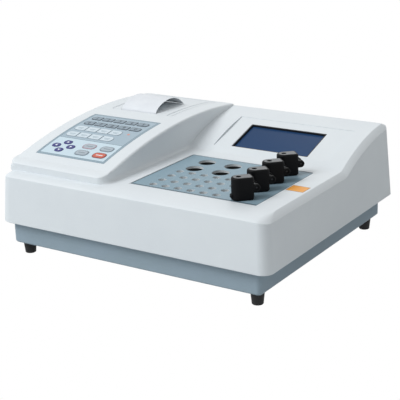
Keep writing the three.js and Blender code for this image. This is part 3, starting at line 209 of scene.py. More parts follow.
# Outline of (y, z) points, counter-clockwise from the right, drawn out along X
def extruded(outline, left, right):
    return skin([[(x, y, z) for y, z in outline] for x in (left, right)])


# Turned body: each (radius, height) of the profile is one circle round an axis through the centre,
# with the first cross axis at r * cos a and the second at r * sin a
def turned(profile, sides, centre, axis="Z", closed=False):
    along = "XYZ".index(axis)
    first, second = (along + 1) % 3, (along + 2) % 3
    radius, height = np.asarray(profile, float).T[:, :, None]
    angle = np.arange(sides) * 2 * math.pi / sides
    rings = np.empty((len(profile), sides, 3))
    rings[..., along] = centre[along] + height
    rings[..., first] = centre[first] + radius * np.cos(angle)
    rings[..., second] = centre[second] + radius * np.sin(angle)
    return skin(rings, closed=closed)


def rod(radius, start, end, chamfer):
    slim = radius - chamfer
    return [(slim, start), (radius, start + chamfer), (radius, end - chamfer), (slim, end)]


# Body with a crowned top and leaning walls. From the outline to an inner outline the top edge follows
# a mix of a quarter ellipse and a straight bevel, with flat as the bevel's share:
# across = inset * ((1 - flat) * (1 - cos t) + flat * t / 90)
# down = drop * ((1 - flat) * (1 - sin t) + flat * (1 - t / 90))
def crownedBlock(walls, heightAt, foot, shape):
    steps, edgeSteps = 12, 10
    stations = np.unique(np.concatenate([np.linspace(*run) for run in shape["stations"]]))
    half = len(stations) + 2 * (steps + 1)
    insets = shape["insets"]

    def outline(z, corners, share=0.0):
        left, right, front, back = walls(z)
        box = (left + share * insets[0], right - share * insets[1],
               front + share * insets[2], back - share * insets[3])
        return wholeOutline(box, corners, stations, steps)

    top = heightAt(outline(shape["roughTop"], shape["innerCorners"], 1)[1])
    innerX, innerY = outline(top[:half], shape["innerCorners"], 1)
    outerX, outerY = outline(top[:half], shape["corners"])
    # shares of the turn from front to side, and from side to back: 3 t^2 - 2 t^3 along the corner
    ease = np.linspace(0, 1, steps + 1)
    ease = ease * ease * (3 - 2 * ease)
    turn = np.concatenate([ease, np.ones(half - steps - 1)])
    tail = np.concatenate([np.zeros(half - steps - 1), ease])
    frontDrop, sideDrop, backDrop = shape["drops"]
    drop = (frontDrop * (1 - turn) + sideDrop * turn) * (1 - tail) + backDrop * tail
    drop = np.concatenate([drop, drop[::-1] * insets[0] / insets[1]])
    flat = shape["frontFlatShare"] * (1 - turn) + shape["flatShare"] * turn
    flat = np.concatenate([flat, flat[::-1]])

    rings = []
    for inset, z in foot:
        # the rim's rounding draws the outline in towards the middle
        x, y = outline(np.full(half, float(z)), shape["corners"])
        rings.append(pointsAt(x - np.sign(x - x.mean()) * inset, y - np.sign(y - y.mean()) * inset, z))
    for share in np.linspace(0, 1, edgeSteps + 1):
        angle = share * quarter
        down = (1 - flat) * (1 - math.sin(angle)) + flat * (1 - share)
        across = (1 - flat) * (1 - math.cos(angle)) + flat * share
        z = top - drop * down
        x, y = outline(z[:half], shape["corners"])
        rings.append(pointsAt(x + (innerX - outerX) * across, y + (innerY - outerY) * across, z))
    return skin(rings, caps="strips")


# Blender objects from parts, joined or cut with the manifold boolean
def tempObject(name, part):
    mesh = bpy.data.meshes.new(name)
    mesh.from_pydata((np.asarray(part[0]) / metre).tolist(), [], part[1])
    mesh.update()
    made = bpy.data.objects.new(name, mesh)
    bpy.context.scene.collection.objects.link(made)
    return made


def applyModifiers(piece):
    bpy.context.view_layer.update()
    graph = bpy.context.evaluated_depsgraph_get()
    solved = piece.evaluated_get(graph)
    mesh = bpy.data.meshes.new_from_object(solved, preserve_all_data_layers=True, depsgraph=graph)
    old = piece.data
    piece.modifiers.clear()
    piece.data = mesh
    bpy.data.meshes.remove(old)


# Each tool is a part, or an object that is used up
def carve(piece, operation, *tools):
    for tool in tools:
        if isinstance(tool, tuple):
            tool = tempObject(piece.name + "_tool", tool)
        modifier = piece.modifiers.new("cut", "BOOLEAN")
        modifier.operation, modifier.solver, modifier.object = operation, "MANIFOLD", tool
        applyModifiers(piece)
        spent = tool.data
        bpy.data.objects.remove(tool)
        bpy.data.meshes.remove(spent)


# Last steps for every new piece: materials, small bevels, smooth shading with sharp edges, and its body. The
# slot is not used.
def finishPiece(piece, finishes, body, slot, node=None, bevel=0.0, angle=32, faceLooks=None):
    mesh = piece.data
    mesh.materials.clear()
    for name in finishes:
        mesh.materials.append(finish[name])
    mesh.polygons.foreach_set("material_index", faceLooks or [0] * len(mesh.polygons))
    mesh.shade_smooth()
    if bevel > 0:
        modifier = piece.modifiers.new("bevel", "BEVEL")
        modifier.width, modifier.segments = bevel / metre, 2
        modifier.limit_method, modifier.angle_limit = "ANGLE", math.radians(40)
        applyModifiers(piece)
        piece.data.shade_smooth()
    piece.data.set_sharp_from_angle(angle=math.radians(angle))
    modifier = piece.modifiers.new("weighted", "WEIGHTED_NORMAL")
    modifier.keep_sharp = True
    applyModifiers(piece)
    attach(piece, body)
    if node:
        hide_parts(node)
    return piece


def newPiece(name, part, finishes, body, slot, node=None, **options):
    return finishPiece(tempObject(name, part), finishes, body, slot, node, **options)


# A CAD node with flat faces is copied, its doubles merged and its edges rounded. The paint function
# takes the middle of each face in millimetres and gives the number of its material.
def roundedCopy(node, name, finishes, body, slot, bevel, paint=None):
    piece = bpy.data.objects.new(name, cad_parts[node].data.copy())
    bpy.context.scene.collection.objects.link(piece)
    weld = piece.modifiers.new("weld", "WELD")
    weld.merge_threshold = 0.01 / metre
    flatten = piece.modifiers.new("flatten", "DECIMATE")
    flatten.decimate_type, flatten.angle_limit = "DISSOLVE", math.radians(0.5)
    applyModifiers(piece)
    marks = [paint(*(face.center * metre)) for face in piece.data.polygons] if paint else None
    return finishPiece(piece, finishes, body, slot, node, bevel=bevel, faceLooks=marks)


# Materials for a piece whose last face, its top, has the second finish
def topOnly(part):
    return [0] * (len(part[1]) - 1) + [1]


# Second finish on the faces inside the box that pass the test, and the first on the rest
def innerFaces(piece, box, test):
    left, right, front, back = grown(box, -margin)
    marks = []
    for face in piece.data.polygons:
        x, y, z = face.center * metre
        marks.append(int(left < x < right and front < y < back and test(x, y, z, face.normal)))
    return marks


# sRGB to linear: c / 12.92 up to 0.04045, else ((c + 0.055) / 1.055) to the power 2.4
def linear(hexColour):
    channels = np.array([int(hexColour[i:i + 2], 16) for i in (1, 3, 5)]) / 255
    low = channels <= 0.04045
    return (*np.where(low, channels / 12.92, ((channels + 0.055) / 1.055) ** 2.4).tolist(), 1.0)


# One node with its settings, values and links
def addNode(tree, kind, values=None, links=None, **settings):
    node = tree.nodes.new(kind)
    for name, value in settings.items():
        setattr(node, name, value)
    for name, value in (values or {}).items():
        node.inputs[name].default_value = value
    for name, source in (links or {}).items():
        tree.links.new(source, node.inputs[name])
    return node


def emptyTree(owner):
    owner.use_nodes = True
    owner.node_tree.nodes.clear()
    return owner.node_tree


# Each finish: colour and second colour, size of the patches they make and of the grain, both in mm,
# roughness, bump, and what differs from the plain look
lookKeys = ("colour", "second", "patch", "grain", "rough", "bump")
plainLook = {"stretch": (1, 1, 1), "depth": 0.05, "roughSpread": 0.05, "metal": 0.0, "ior": 1.5,
             "creaseShadeReach": 0, "creaseShadeLevel": 0.72}
looks = {
    # ABS, moulded on a fine spark-eroded tool: soft broad highlights, no mirror
    "satinAbs": ("#dde3e6", "#d9dfe3", 70, 0.9, 0.55, 0.1, {"ior": 1.45}),
    # sheet steel, powder coated: orange peel of about 1.5 mm, half matt, with painted shade in its creases
    "powderCoat": ("#97a8b4", "#93a4ae", 45, 1.5, 0.55, 0.25, {"creaseShadeReach": 4, "ior": 1.25}),
    "rearPowderCoat": ("#8a9aa6", "#82929c", 40, 1.5, 0.5, 0.25, {"creaseShadeReach": 3}),
    # natural rubber, moulded: matt, faint bloom
    "rubberFoot": ("#131416", "#191a1c", 8, 0.7, 0.78, 0.3, {}),
    # polyester films, printed from behind: even colour under a fine matt face
    "deckFilmAndShadeLine": ("#869fac", "#819aa8", 60, 0.8, 0.45, 0.12, {"creaseShadeReach": 2, "ior": 1.3}),
    "keypadPrint": ("#91a3af", "#8c9eaa", 35, 0.7, 0.42, 0.1, {"creaseShadeReach": 1.2, "ior": 1.35}),
    "numberFilm": ("#8a9ba7", "#8394a0", 8, 0.6, 0.42, 0.1, {"ior": 1.35}),
    "softFilm": ("#d0dde5", "#cbd9e1", 9, 0.6, 0.42, 0.1, {"ior": 1.35}),
    "greyKeyFilm": ("#a9b6bf", "#a2afb8", 8, 0.6, 0.36, 0.1, {}),
    "redKeyFilm": ("#cc6047", "#c55940", 7, 0.6, 0.36, 0.1, {}),
    # screen inks under the film: flat, with hardly any grain
    "darkInk": ("#3c4853", "#424e59", 5, 0.5, 0.45, 0.05, {}),
    "markInk": ("#9fb0bb", "#98a9b4", 4, 0.5, 0.45, 0.05, {}),
    "navyInk": ("#14186c", "#191e74", 5, 0.5, 0.36, 0.08, {}),
    "whiteInk": ("#e4ecf4", "#dde6ef", 4, 0.5, 0.4, 0.05, {}),
    "greyKeyRing": ("#7f8c97", "#798690", 6, 0.5, 0.4, 0.05, {}),
    "mauveRing": ("#a8909c", "#a18a95", 6, 0.5, 0.4, 0.05, {}),
    "redKeyRing": ("#8e3a38", "#863533", 6, 0.5, 0.4, 0.05, {}),
    "orangeLamp": ("#d98f7c", "#d3836e", 3, 0.5, 0.35, 0.05, {}),
    # aluminium, anodised pale and matt: drawn without a metal's sheen, with the bore's lengthwise grain
    "boredAluminium": ("#dfe5e8", "#d4dadd", 6, 0.6, 0.45, 0.1, {"stretch": (1, 1, 4)}),
    # painted shade for the bores' lower walls: black and matt, so a bore reads as a hole. Aluminium, anodised
    # black, for the optics housing
    "paintedBoreShade": ("#0a0b0c", "#101113", 6, 0.7, 0.55, 0.1, {}),
    "opticsHousing": ("#2a2d30", "#303336", 10, 0.8, 0.45, 0.15, {}),
    # acetal, machined black: semi-gloss with a soft broad sheen; the top face is painted paler, a painted
    # sheen of the light on the top
    "blackAcetal": ("#08090b", "#0b0c0e", 9, 0.8, 0.5, 0.12, {"ior": 1.2}),
    "headTopSheen": ("#3c4145", "#43484c", 5, 0.7, 0.36, 0.15, {}),
    # steel: bead blasted, ground, and black oxide, each with its own spread of highlight
    "blastedSteel": ("#9ea3a6", "#92979a", 6, 0.5, 0.42, 0.25, {"metal": 1.0}),
    "groundSteel": ("#c4c8ca", "#b4b8ba", 3, 0.4, 0.24, 0.1, {"metal": 1.0, "stretch": (3, 3, 1)}),
    "blackOxide": ("#2b2c2e", "#353638", 3, 0.4, 0.4, 0.15, {"metal": 1.0}),
    "brass": ("#c9b078", "#bfa56c", 3, 0.4, 0.3, 0.1, {"metal": 1.0}),
    # glass-filled nylon, moulded: dark, with a fine rough skin
    "blackNylon": ("#0b0d10", "#101216", 6, 0.7, 0.5, 0.2, {}),
    "printerNylon": ("#24272a", "#2a2d30", 14, 0.9, 0.5, 0.2, {}),
    "inletNylon": ("#1a1b1d", "#202124", 8, 0.7, 0.48, 0.2, {}),
    # nitrile rubber, ground round: matt black
    "rollerRubber": ("#1b1c1e", "#222325", 6, 0.5, 0.75, 0.25, {}),
    # thermal paper: bright, matt, with a faint fibre, on a core of grey board
    "thermalPaper": ("#e2e6ea", "#dce0e5", 14, 0.6, 0.7, 0.12, {"ior": 1.45}),
    "cardCore": ("#b8a387", "#a99377", 6, 0.5, 0.85, 0.3, {}),
    # vinyl sticker, blank, with a thin darker edge
    "orangeVinyl": ("#ec9f22", "#e6971d", 9, 0.6, 0.4, 0.08, {}),
    "stickerLine": ("#a8763a", "#a07036", 5, 0.6, 0.45, 0.05, {}),
    # circuit boards in green lacquer, with epoxy chips and a taped transformer
    "solderMask": ("#2f6b45", "#28603c", 5, 0.8, 0.4, 0.3, {}),
    "powerBoard": ("#3a6b4a", "#2f5c3f", 7, 0.9, 0.45, 0.3, {}),
    "blackChip": ("#1d1f21", "#25272a", 5, 0.7, 0.5, 0.15, {}),
    "yellowTape": ("#b99a3c", "#a98b33", 6, 0.6, 0.4, 0.15, {}),
}


# A finish: two close colours mixed in soft patches, roughness that wanders, a fine grain as bump,
# and a painted shade that darkens creases, found by an occlusion test. The finest grains are drawn coarser,
# to show at all.
def makeFinish(name, row):
    look = {**plainLook, **dict(zip(lookKeys, row)), **row[-1]}
    material = bpy.data.materials.new(name)
    tree = emptyTree(material)
    place = addNode(tree, "ShaderNodeTexCoord").outputs["Object"]
    stretch = {"Scale": look["stretch"]}
    place = addNode(tree, "ShaderNodeMapping", stretch, {"Vector": place}).outputs["Vector"]
    patches = addNode(tree, "ShaderNodeTexNoise", {
        "Scale": metre / look["patch"], "Detail": 3.0, "Roughness": 0.55}, {"Vector": place}).outputs["Fac"]
    spread = addNode(tree, "ShaderNodeMapRange", {
        "From Min": 0.3, "From Max": 0.7}, {"Value": patches}).outputs["Result"]
    colour = addNode(tree, "ShaderNodeMix", {
        "A": linear(look["colour"]), "B": linear(look["second"])}, {"Factor": spread}, data_type="RGBA")
    colour = colour.outputs[2]
    grain = addNode(tree, "ShaderNodeTexNoise", {
        "Scale": metre / look["grain"], "Detail": 2.0, "Roughness": 0.6}, {"Vector": place}).outputs["Fac"]
    # painted shade: the colour is darkened where the occlusion test finds a crease
    if look["creaseShadeReach"]:
        crease = addNode(tree, "ShaderNodeAmbientOcclusion", {"Distance": look["creaseShadeReach"] / metre}, samples=8)
        shade = addNode(tree, "ShaderNodeMapRange", {
            "From Min": 0.25, "From Max": 0.9, "To Min": look["creaseShadeLevel"]},
            {"Value": crease.outputs["AO"]}).outputs["Result"]
        creaseShaded = addNode(tree, "ShaderNodeVectorMath", links={0: colour, 1: shade}, operation="MULTIPLY")
        colour = creaseShaded.outputs["Vector"]
    rough = addNode(tree, "ShaderNodeMapRange", {
        "To Min": look["rough"] - look["roughSpread"], "To Max": look["rough"] + look["roughSpread"]},
        {"Value": grain}).outputs["Result"]
    bump = addNode(tree, "ShaderNodeBump", {
        "Strength": look["bump"], "Distance": look["depth"] / metre}, {"Height": grain}).outputs["Normal"]
    shader = addNode(tree, "ShaderNodeBsdfPrincipled", {"Metallic": look["metal"]},
                     {"Base Color": colour, "Roughness": rough, "Normal": bump})
    if not look["metal"]:
        shader.inputs["IOR"].default_value = look["ior"]
    addNode(tree, "ShaderNodeOutputMaterial", links={"Surface": shader.outputs["BSDF"]})
    return material


finish = {name: makeFinish(name, row) for name, row in looks.items()}


# Print on a film: a ground colour, and over it rectangles of ink, each the product of four steps on
# the object's own X and Y
def printOn(material, printing):
    tree = material.node_tree
    shader = next(node for node in tree.nodes if node.type == "BSDF_PRINCIPLED")
    place = addNode(tree, "ShaderNodeTexCoord").outputs["Object"]
    split = addNode(tree, "ShaderNodeSeparateXYZ", links={"Vector": place})
    colour = addNode(tree, "ShaderNodeRGB").outputs["Color"]
    colour.default_value = linear(printing["line"])
    for ink, (left, right, front, back) in printing["fields"]:
        inside = None
        for axis, value, operation in (("X", left, "GREATER_THAN"), ("X", right, "LESS_THAN"),
                                       ("Y", front, "GREATER_THAN"), ("Y", back, "LESS_THAN")):
            step = addNode(tree, "ShaderNodeMath", {1: value / metre}, {0: split.outputs[axis]},
                           operation=operation).outputs["Value"]
            inside = step if inside is None else addNode(
                tree, "ShaderNodeMath", links={0: inside, 1: step}, operation="MULTIPLY").outputs["Value"]
        colour = addNode(tree, "ShaderNodeMix", {"B": linear(printing[ink])},
                         {"Factor": inside, "A": colour}, data_type="RGBA").outputs[2]
    tree.links.new(colour, shader.inputs["Base Color"])


# Liquid crystal glass: dark blue, with the cell's pixel grid faint under a clear face. The real dots
# are about 0.3 mm wide and are drawn three times as coarse, so that they show.
glassLook = {"colour": "#26456c", "second": "#234168", "far": "#213e64", "pixel": 0.9, "rough": 0.22,
             "ior": 1.15, "front": 50, "back": 125}


def makeDisplayGlass(look):
    material = bpy.data.materials.new("displayGlass")
    tree = emptyTree(material)
    place = addNode(tree, "ShaderNodeTexCoord").outputs["Object"]
    pixels = addNode(tree, "ShaderNodeTexChecker", {
        "Scale": metre / look["pixel"], "Color1": linear(look["colour"]), "Color2": linear(look["second"])},
        {"Vector": place}).outputs["Color"]
    split = addNode(tree, "ShaderNodeSeparateXYZ", links={"Vector": place})
    fade = addNode(tree, "ShaderNodeMapRange", {
        "From Min": look["front"] / metre, "From Max": look["back"] / metre},
        {"Value": split.outputs["Y"]}).outputs["Result"]
    colour = addNode(tree, "ShaderNodeMix", {"B": linear(look["far"])}, {"Factor": fade, "A": pixels},
                     data_type="RGBA").outputs[2]
    shader = addNode(tree, "ShaderNodeBsdfPrincipled", {
        "Roughness": look["rough"], "IOR": look["ior"]}, {"Base Color": colour})
    addNode(tree, "ShaderNodeOutputMaterial", links={"Surface": shader.outputs["BSDF"]})
    return material


finish["displayGlass"] = makeDisplayGlass(glassLook)
print("materials made")

view = {"azimuth": 33.42, "elevation": 18.53, "roll": -1.69, "lens": 100.27, "sensor": 36.0,
        "location": (769.35, -1163.71, 523.51)}


# Camera at the photograph's angle: back = (sin a cos e, -cos a cos e, sin e), then a roll about it
def makeCamera():
    data = bpy.data.cameras.new("camera")
    data.lens, data.sensor_width, data.clip_start, data.clip_end = view["lens"], view["sensor"], 0.05, 50
    camera = bpy.data.objects.new("camera", data)
    bpy.context.scene.collection.objects.link(camera)
    azimuth, elevation, roll = (math.radians(view[key]) for key in ("azimuth", "elevation", "roll"))
    level = np.array([math.cos(azimuth), math.sin(azimuth), 0.0])
    away = np.array([math.sin(azimuth), -math.cos(azimuth), 0.0])
    back = away * math.cos(elevation) + np.array([0.0, 0.0, math.sin(elevation)])
    over = np.cross(back, level)
    matrix = np.eye(4)
    matrix[:3, 0] = level * math.cos(roll) + over * math.sin(roll)
    matrix[:3, 1] = over * math.cos(roll) - level * math.sin(roll)
    matrix[:3, 2] = back
    matrix[:3, 3] = np.array(view["location"]) / metre
    camera.matrix_world = Matrix(matrix.tolist())
    bpy.context.scene.camera = camera


makeCamera()

# Plain studio: a pale floor, one large soft lamp at the front left, a weak one behind, even sky
studio = {
    "key": {"place": (-1308, -1709, 2220), "size": 1800, "power": 59, "colour": "#fbfdff"},
    "rim": {"place": (-700, 1900, 1600), "size": 1200, "power": 6, "colour": "#ffffff"},
    "aim": 100, "sky": 0.5, "floor": "#c8ccce", "floorSize": 30000, "floorLow": -0.2,
}


# 1 for what the camera sees, straight or by way of gloss or glass
def seenDirectly(tree):
    path = addNode(tree, "ShaderNodeLightPath")
    seen = path.outputs["Is Camera Ray"]
    for way in ("Is Glossy Ray", "Is Transmission Ray"):
        either = addNode(tree, "ShaderNodeMath", links={0: seen, 1: path.outputs[way]}, operation="MAXIMUM")
        seen = either.outputs["Value"]
    return seen


def makeLamp(name, lamp):
    light = bpy.data.lights.new(name, "AREA")
    light.shape, light.size = "DISK", lamp["size"] / metre
    light.energy, light.color = lamp["power"], linear(lamp["colour"])[:3]
    holder = bpy.data.objects.new(name, light)
    bpy.context.scene.collection.objects.link(holder)
    holder.location = [value / metre for value in lamp["place"]]
    aim = -holder.location.copy()
    aim.z += studio["aim"] / metre
    holder.rotation_mode = "QUATERNION"
    holder.rotation_quaternion = aim.to_track_quat("-Z", "Y")


def makeStudio():
    for name in ("key", "rim"):
        makeLamp(name, studio[name])
    world = bpy.data.worlds.new("sky")
    bpy.context.scene.world = world
    tree = emptyTree(world)
    strength = addNode(tree, "ShaderNodeMapRange", {"To Min": studio["sky"]}, {"Value": seenDirectly(tree)})
    sky = addNode(tree, "ShaderNodeBackground", {"Color": (1, 1, 1, 1)},
                  {"Strength": strength.outputs["Result"]})
    addNode(tree, "ShaderNodeOutputWorld", links={"Surface": sky.outputs["Background"]})

    material = bpy.data.materials.new("paleFloor")
    tree = emptyTree(material)
    matt = addNode(tree, "ShaderNodeBsdfDiffuse", {"Color": linear(studio["floor"])}).outputs["BSDF"]
    glow = addNode(tree, "ShaderNodeEmission", {"Color": (1, 1, 1, 1), "Strength": 1.0}).outputs["Emission"]
    mixed = addNode(tree, "ShaderNodeMixShader", links={0: seenDirectly(tree), 1: matt, 2: glow})
    addNode(tree, "ShaderNodeOutputMaterial", links={"Surface": mixed.outputs["Shader"]})
    reach, low = studio["floorSize"] / 2, studio["floorLow"]
    corners = [(-reach, -reach, low), (reach, -reach, low), (reach, reach, low), (-reach, reach, low)]
    floor = tempObject("floor", (corners, [[0, 1, 2, 3]]))
    floor.data.materials.append(material)
    bpy.context.scene.view_settings.view_transform = "Standard"


makeStudio()
print("camera and studio made")


# Upper case: the deck and hump in one block, and the tower in another
def caseWalls(z):
    return -halfWidthAt(z), halfWidthAt(z), -halfDepthAt(z), halfDepthAt(z)


def towerWalls(z):
    return hair - halfWidthAt(z), tower["right"], tower["front"], halfDepthAt(z) - hair


# Hollow sweep at the foot of the tower's right wall: grow = r * (1 - sin a), up = r * (1 - cos a)
sweep = {"radius": 5, "stop": 0.02, "overlap": 0.02, "below": 1.5, "back": 140, "corner": 6, "steps": 14}


def footSweep():
    radius, corner = sweep["radius"], sweep["corner"]
    angle = np.linspace(0, quarter - sweep["stop"], sweep["steps"])
    levels = [(radius, -sweep["below"]), *zip(radius * (1 - np.sin(angle)), radius * (1 - np.cos(angle)))]
    left = hair - halfWidthAt(case["deck"]) + margin
    rings = []
    for grow, up in levels:
        box = (left, tower["right"] + grow + sweep["overlap"], tower["front"] + hair, sweep["back"])
        corners = ((tower["corners"][0][0] + grow, corner), (corner, corner))
        rings.append(pointsAt(*insetOutline(box, 0, corners, (), 10), case["deck"] + up))
    return skin(rings)


# Point over the tower's arc, with lift measured along the arc's normal
def onTower(x, y, lift):
    slope = (y - tower["crownY"]) / tower["radius"]
    return pointsAt(x, y + lift * slope, towerHeight(y) + lift * np.sqrt(1 - slope ** 2))


# Slab that follows the tower's arc
def towerSlab(box, corner, levels, stationCount=24):
    ends = corner + margin / 2
    stations = np.linspace(box[2] + ends, box[3] - ends, stationCount)
    rings = [onTower(*insetOutline(box, inset, corner, stations, 5), lift) for inset, lift in levels]
    return skin(rings, "strips")


# What is let into the case. The display's field is a plane through two points of the hump's arc.
field = {"front": 50, "back": 124, "left": -7, "right": 165, "openLeft": 18.6, "openRight": 132.4,
         "openFront": 53.2, "openLength": 58.8, "openDeep": 12, "corner": 1.2, "sink": 0.006, "line": 0.9,
         "lineStart": 0.5}
plate = {"left": -18, "right": 160.5, "front": -124.3, "back": 17, "top": 111.5, "thick": 1.5, "corner": 2,
         "edges": (0.2, 0.3), "seat": 110, "ledge": 4, "ledgeCorner": 1, "hole": 100, "runOut": 4.9}
keypad = {"left": -173.3, "right": -62.7, "front": -118, "back": 9, "recess": 2, "low": -1.7, "top": 0.1,
          "corner": 1.2, "edge": 0.35}
cover = {"left": -167, "right": -68, "front": 41, "back": 152, "thick": 2.5, "gap": 0.9, "rearGap": 3,
         "corner": 1.2, "edge": 0.4, "bayDeep": 12, "bayCorner": 1.5, "hingeY": 149.5, "hingeZ": 144,
         "barrel": 3, "stub": 2, "stubLength": 2.5, "stubEdge": 0.3, "slot": 1.6, "slotDeep": 8,
         "slotLeft": -153.1, "slotRight": -92.7, "lineX": -74.7, "lineWide": 1.6, "lineDeep": 1.8,
         "lineEnd": 9}
rear = {"left": -30, "right": 170, "low": 62, "high": 100, "inside": 150, "outside": 180}
room = {"levels": ((0, 40), (4, 92), (14, 108)), "corner": 13, "shelf": 6,
        "tower": (-190, -44, -128, 157), "towerCorner": 6, "towerDeep": 50,
        "humpLeft": -60, "humpRight": 188, "humpFront": 60, "humpBack": 154, "humpFloor": 100,
        "roof": ((154, 3), (110, 3.2), (85, 4.5), (60, 3))}    # pairs of y and wall thickness

fieldFoot = float(humpHeight(field["front"]))
fieldAngle = math.atan2(float(humpHeight(field["back"])) - fieldFoot, field["back"] - field["front"])
fieldFrame = Matrix.Translation((0, field["front"], fieldFoot)) @ Matrix.Rotation(fieldAngle, 4, "X")
fieldStart = (field["openFront"] - field["front"]) / math.cos(fieldAngle)
fieldLength = (field["back"] - field["front"]) / math.cos(fieldAngle)
fieldOpening = (field["openLeft"], field["openRight"], fieldStart, fieldStart + field["openLength"])


# Rooms inside the case, for the boards and the printer
def caseRooms():
    wall = case["wall"]
    wide, deep = halfWidthAt(case["rim"]) - wall, halfDepthAt(case["rim"]) - wall
    outline = [(room["humpFront"], room["humpFloor"]), (room["humpBack"], room["humpFloor"])]
    outline += [(y, float(humpHeight(y)) - thick) for y, thick in room["roof"]]
    return [
        slab(room["levels"], (-wide, wide, -deep, deep - room["shelf"]), room["corner"]),
        towerSlab(room["tower"], room["towerCorner"], [(0, -room["towerDeep"]), (0, -wall)]),
        extruded(outline, room["humpLeft"], room["humpRight"]),
    ]


# Openings in the case's skin
def caseOpenings():
    # the plate's recess runs out to the front at a shallow slope, so that the plate's edge is seen
    front, low, high = plate["front"], plate["top"] - hair, case["deck"] + hair
    slope = [(front + margin, low), (front + margin, high), (front - plate["runOut"], high),
             (front - fit, low)]
    line = (field["left"], field["left"] + field["line"], field["lineStart"], fieldLength)
    bay = (*boxOf(cover, cover["gap"])[:3], cover["back"] + cover["rearGap"])
    stub = [(cover["stub"] + fit, cover["left"] - cover["stubLength"] - fit),
            (cover["stub"] + fit, cover["right"] + cover["stubLength"] + fit)]
    return [
        extruded(slope, plate["left"] - fit, plate["right"] + fit),
        placed(boxPart(field["left"], field["right"], 0, fieldLength, 0, overrun),
               fieldFrame @ Matrix.Rotation(-field["sink"], 4, "X")),
        placed(boxPart(*line, -field["line"], overrun), fieldFrame),
        placed(slab([(0, -field["openDeep"]), (0, overrun)], fieldOpening, field["corner"]), fieldFrame),
        boxPart(rear["left"], rear["right"], rear["inside"], rear["outside"], rear["low"], rear["high"]),
        slab([(0, plate["seat"]), (0, case["deck"] + overrun)], boxOf(plate, fit), plate["corner"] + fit),
        slab([(0, plate["hole"]), (0, case["deck"] + overrun)], boxOf(plate, -plate["ledge"]),
             plate["ledgeCorner"]),
        towerSlab(boxOf(keypad, fit), keypad["corner"], [(0, -keypad["recess"]), (0, overrun)]),
        towerSlab(bay, cover["bayCorner"], [(0, -cover["bayDeep"]), (0, overrun)]),
        turned(stub, 24, (0, cover["hingeY"], cover["hingeZ"]), "X"),
    ]


def makeCase():
    rim, edge = case["rim"], case["rimEdge"]
    rimRounding = [(edge * (1 - math.sin(a)), rim + edge * (1 - math.cos(a)))
                   for a in np.linspace(0, quarter, 4)]
    piece = tempObject("case_shell", crownedBlock(caseWalls, deckHeightAt, rimRounding, case))
    block = crownedBlock(towerWalls, towerHeight, [(0, tower["base"])], tower)
    carve(piece, "UNION", block, footSweep())
    carve(piece, "DIFFERENCE", *caseRooms(), *caseOpenings())
    finishPiece(piece, ("satinAbs",), "case", "casing", "upper_case")


makeCase()
print("case made")

# Base pan, folded from sheet, and its feet. Profiles are pairs of radius and height.
pan = {"left": -185, "right": 185, "front": -160, "back": 163, "corner": 6, "wall": 2, "floor": 19,
       "outside": ((2.6, 17), (1.8, 17.2), (0.4, 18.6), (0, 19.4), (0, 47)),
       "flange": (47, 49), "flangeInset": 3.4, "flangeCorner": 13}
foot = {"x": 172, "y": 144, "profile": ((5.6, 0), (6.5, 0.25), (7, 0.9), (7.3889, 5), (8.7, 16.7), (8.7, 17))}


# Tray with its flange turned out: one chain of rings from the outside of its floor to the inside
def makePan():
    low, high = pan["flange"]
    wide = halfWidthAt((low + high) / 2) - pan["flangeInset"]
    deep = halfDepthAt((low + high) / 2) - pan["flangeInset"]
    rings = flatRings(pan["outside"], boxOf(pan), pan["corner"], 8)
    rings += flatRings([(0, low), (0, high)], (-wide, wide, -deep, deep), pan["flangeCorner"], 8)
    rings += flatRings([(pan["wall"], high), (pan["wall"], pan["floor"])], boxOf(pan), pan["corner"], 8)
    newPiece("base_tray", skin(rings), ("powderCoat",), "case", "base", "base_pan", angle=28)


def makeFeet():
    for name, sideX, sideY in (("front_left", -1, -1), ("front_right", 1, -1), ("rear_left", -1, 1),
                               ("rear_right", 1, 1)):
        part = turned(foot["profile"], 40, (sideX * foot["x"], sideY * foot["y"], 0))
        newPiece("rubber_foot_" + name, part, ("rubberFoot",), "case", "foot_rubber", "foot_" + name)


makePan()
makeFeet()

# Wells: bored in a grid from the first place on, pale down to the pale depth and dark below it, where the
# dark is painted shade of the deep hole. The sides are those of a hole in the plate and of a bore in the
# block.
wells = {
    "cuvette": {"first": (8.2, -112.6), "pitch": (18.2, 19.6), "grid": (6, 4), "radius": 5.1, "depth": 34,
                "chamfer": 0.3, "pale": 9, "sides": (40, 36)},
    "reagent": {"first": (17.8, -34.6), "pitch": (39, 29.8), "grid": (2, 2), "radius": 11.3, "depth": 30,
                "chamfer": 0.4, "pale": 3.2, "sides": (72, 60)},
    "measuring": {"first": (130.8, -113.8), "pitch": (0, 36.1), "grid": (1, 4), "radius": 4.5, "depth": 24,
                  "chamfer": 0.5, "pale": 3, "sides": (40, 36)},
}
measuringLeft, reagentFront = 118, -48    # no cuvette well reaches these lines
wallNormal = 0.3    # a face is a wall where its normal has less than this along Z
boreShape = {"step": 0.15, "tipShare": 0.15, "cone": ((0.6, 1.2), (0, 2.2)), "edges": (0.5, 0.4), "corner": 1}
# the line colour, left as a band round the plate's edge, is painted shade of the gap round the plate
deckFilmAndShadeLine = {"line": "#566a75", "film": "#869fac", "shadeBorder": 1.4, "frontShadeBorder": 3.08}
blocks = {
    "heated_block": {"box": (-4.8, 113, -120, 12.7), "low": 71.7, "kinds": ("cuvette", "reagent"),
                     "looks": ("boredAluminium", "paintedBoreShade"), "slot": "block_aluminium",
                     "node": "incubation_block"},
    "optics_block": {"box": (116, 156.2, -120, 12.7), "low": 79.7, "kinds": ("measuring",),
                     "looks": ("opticsHousing", "paintedBoreShade"), "slot": "optics_housing",
                     "node": "measuring_module"},
}


def wellPlaces(kind):
    row = wells[kind]
    return [(row["first"][0] + row["pitch"][0] * i, row["first"][1] + row["pitch"][1] * j)
            for j in range(row["grid"][1]) for i in range(row["grid"][0])]


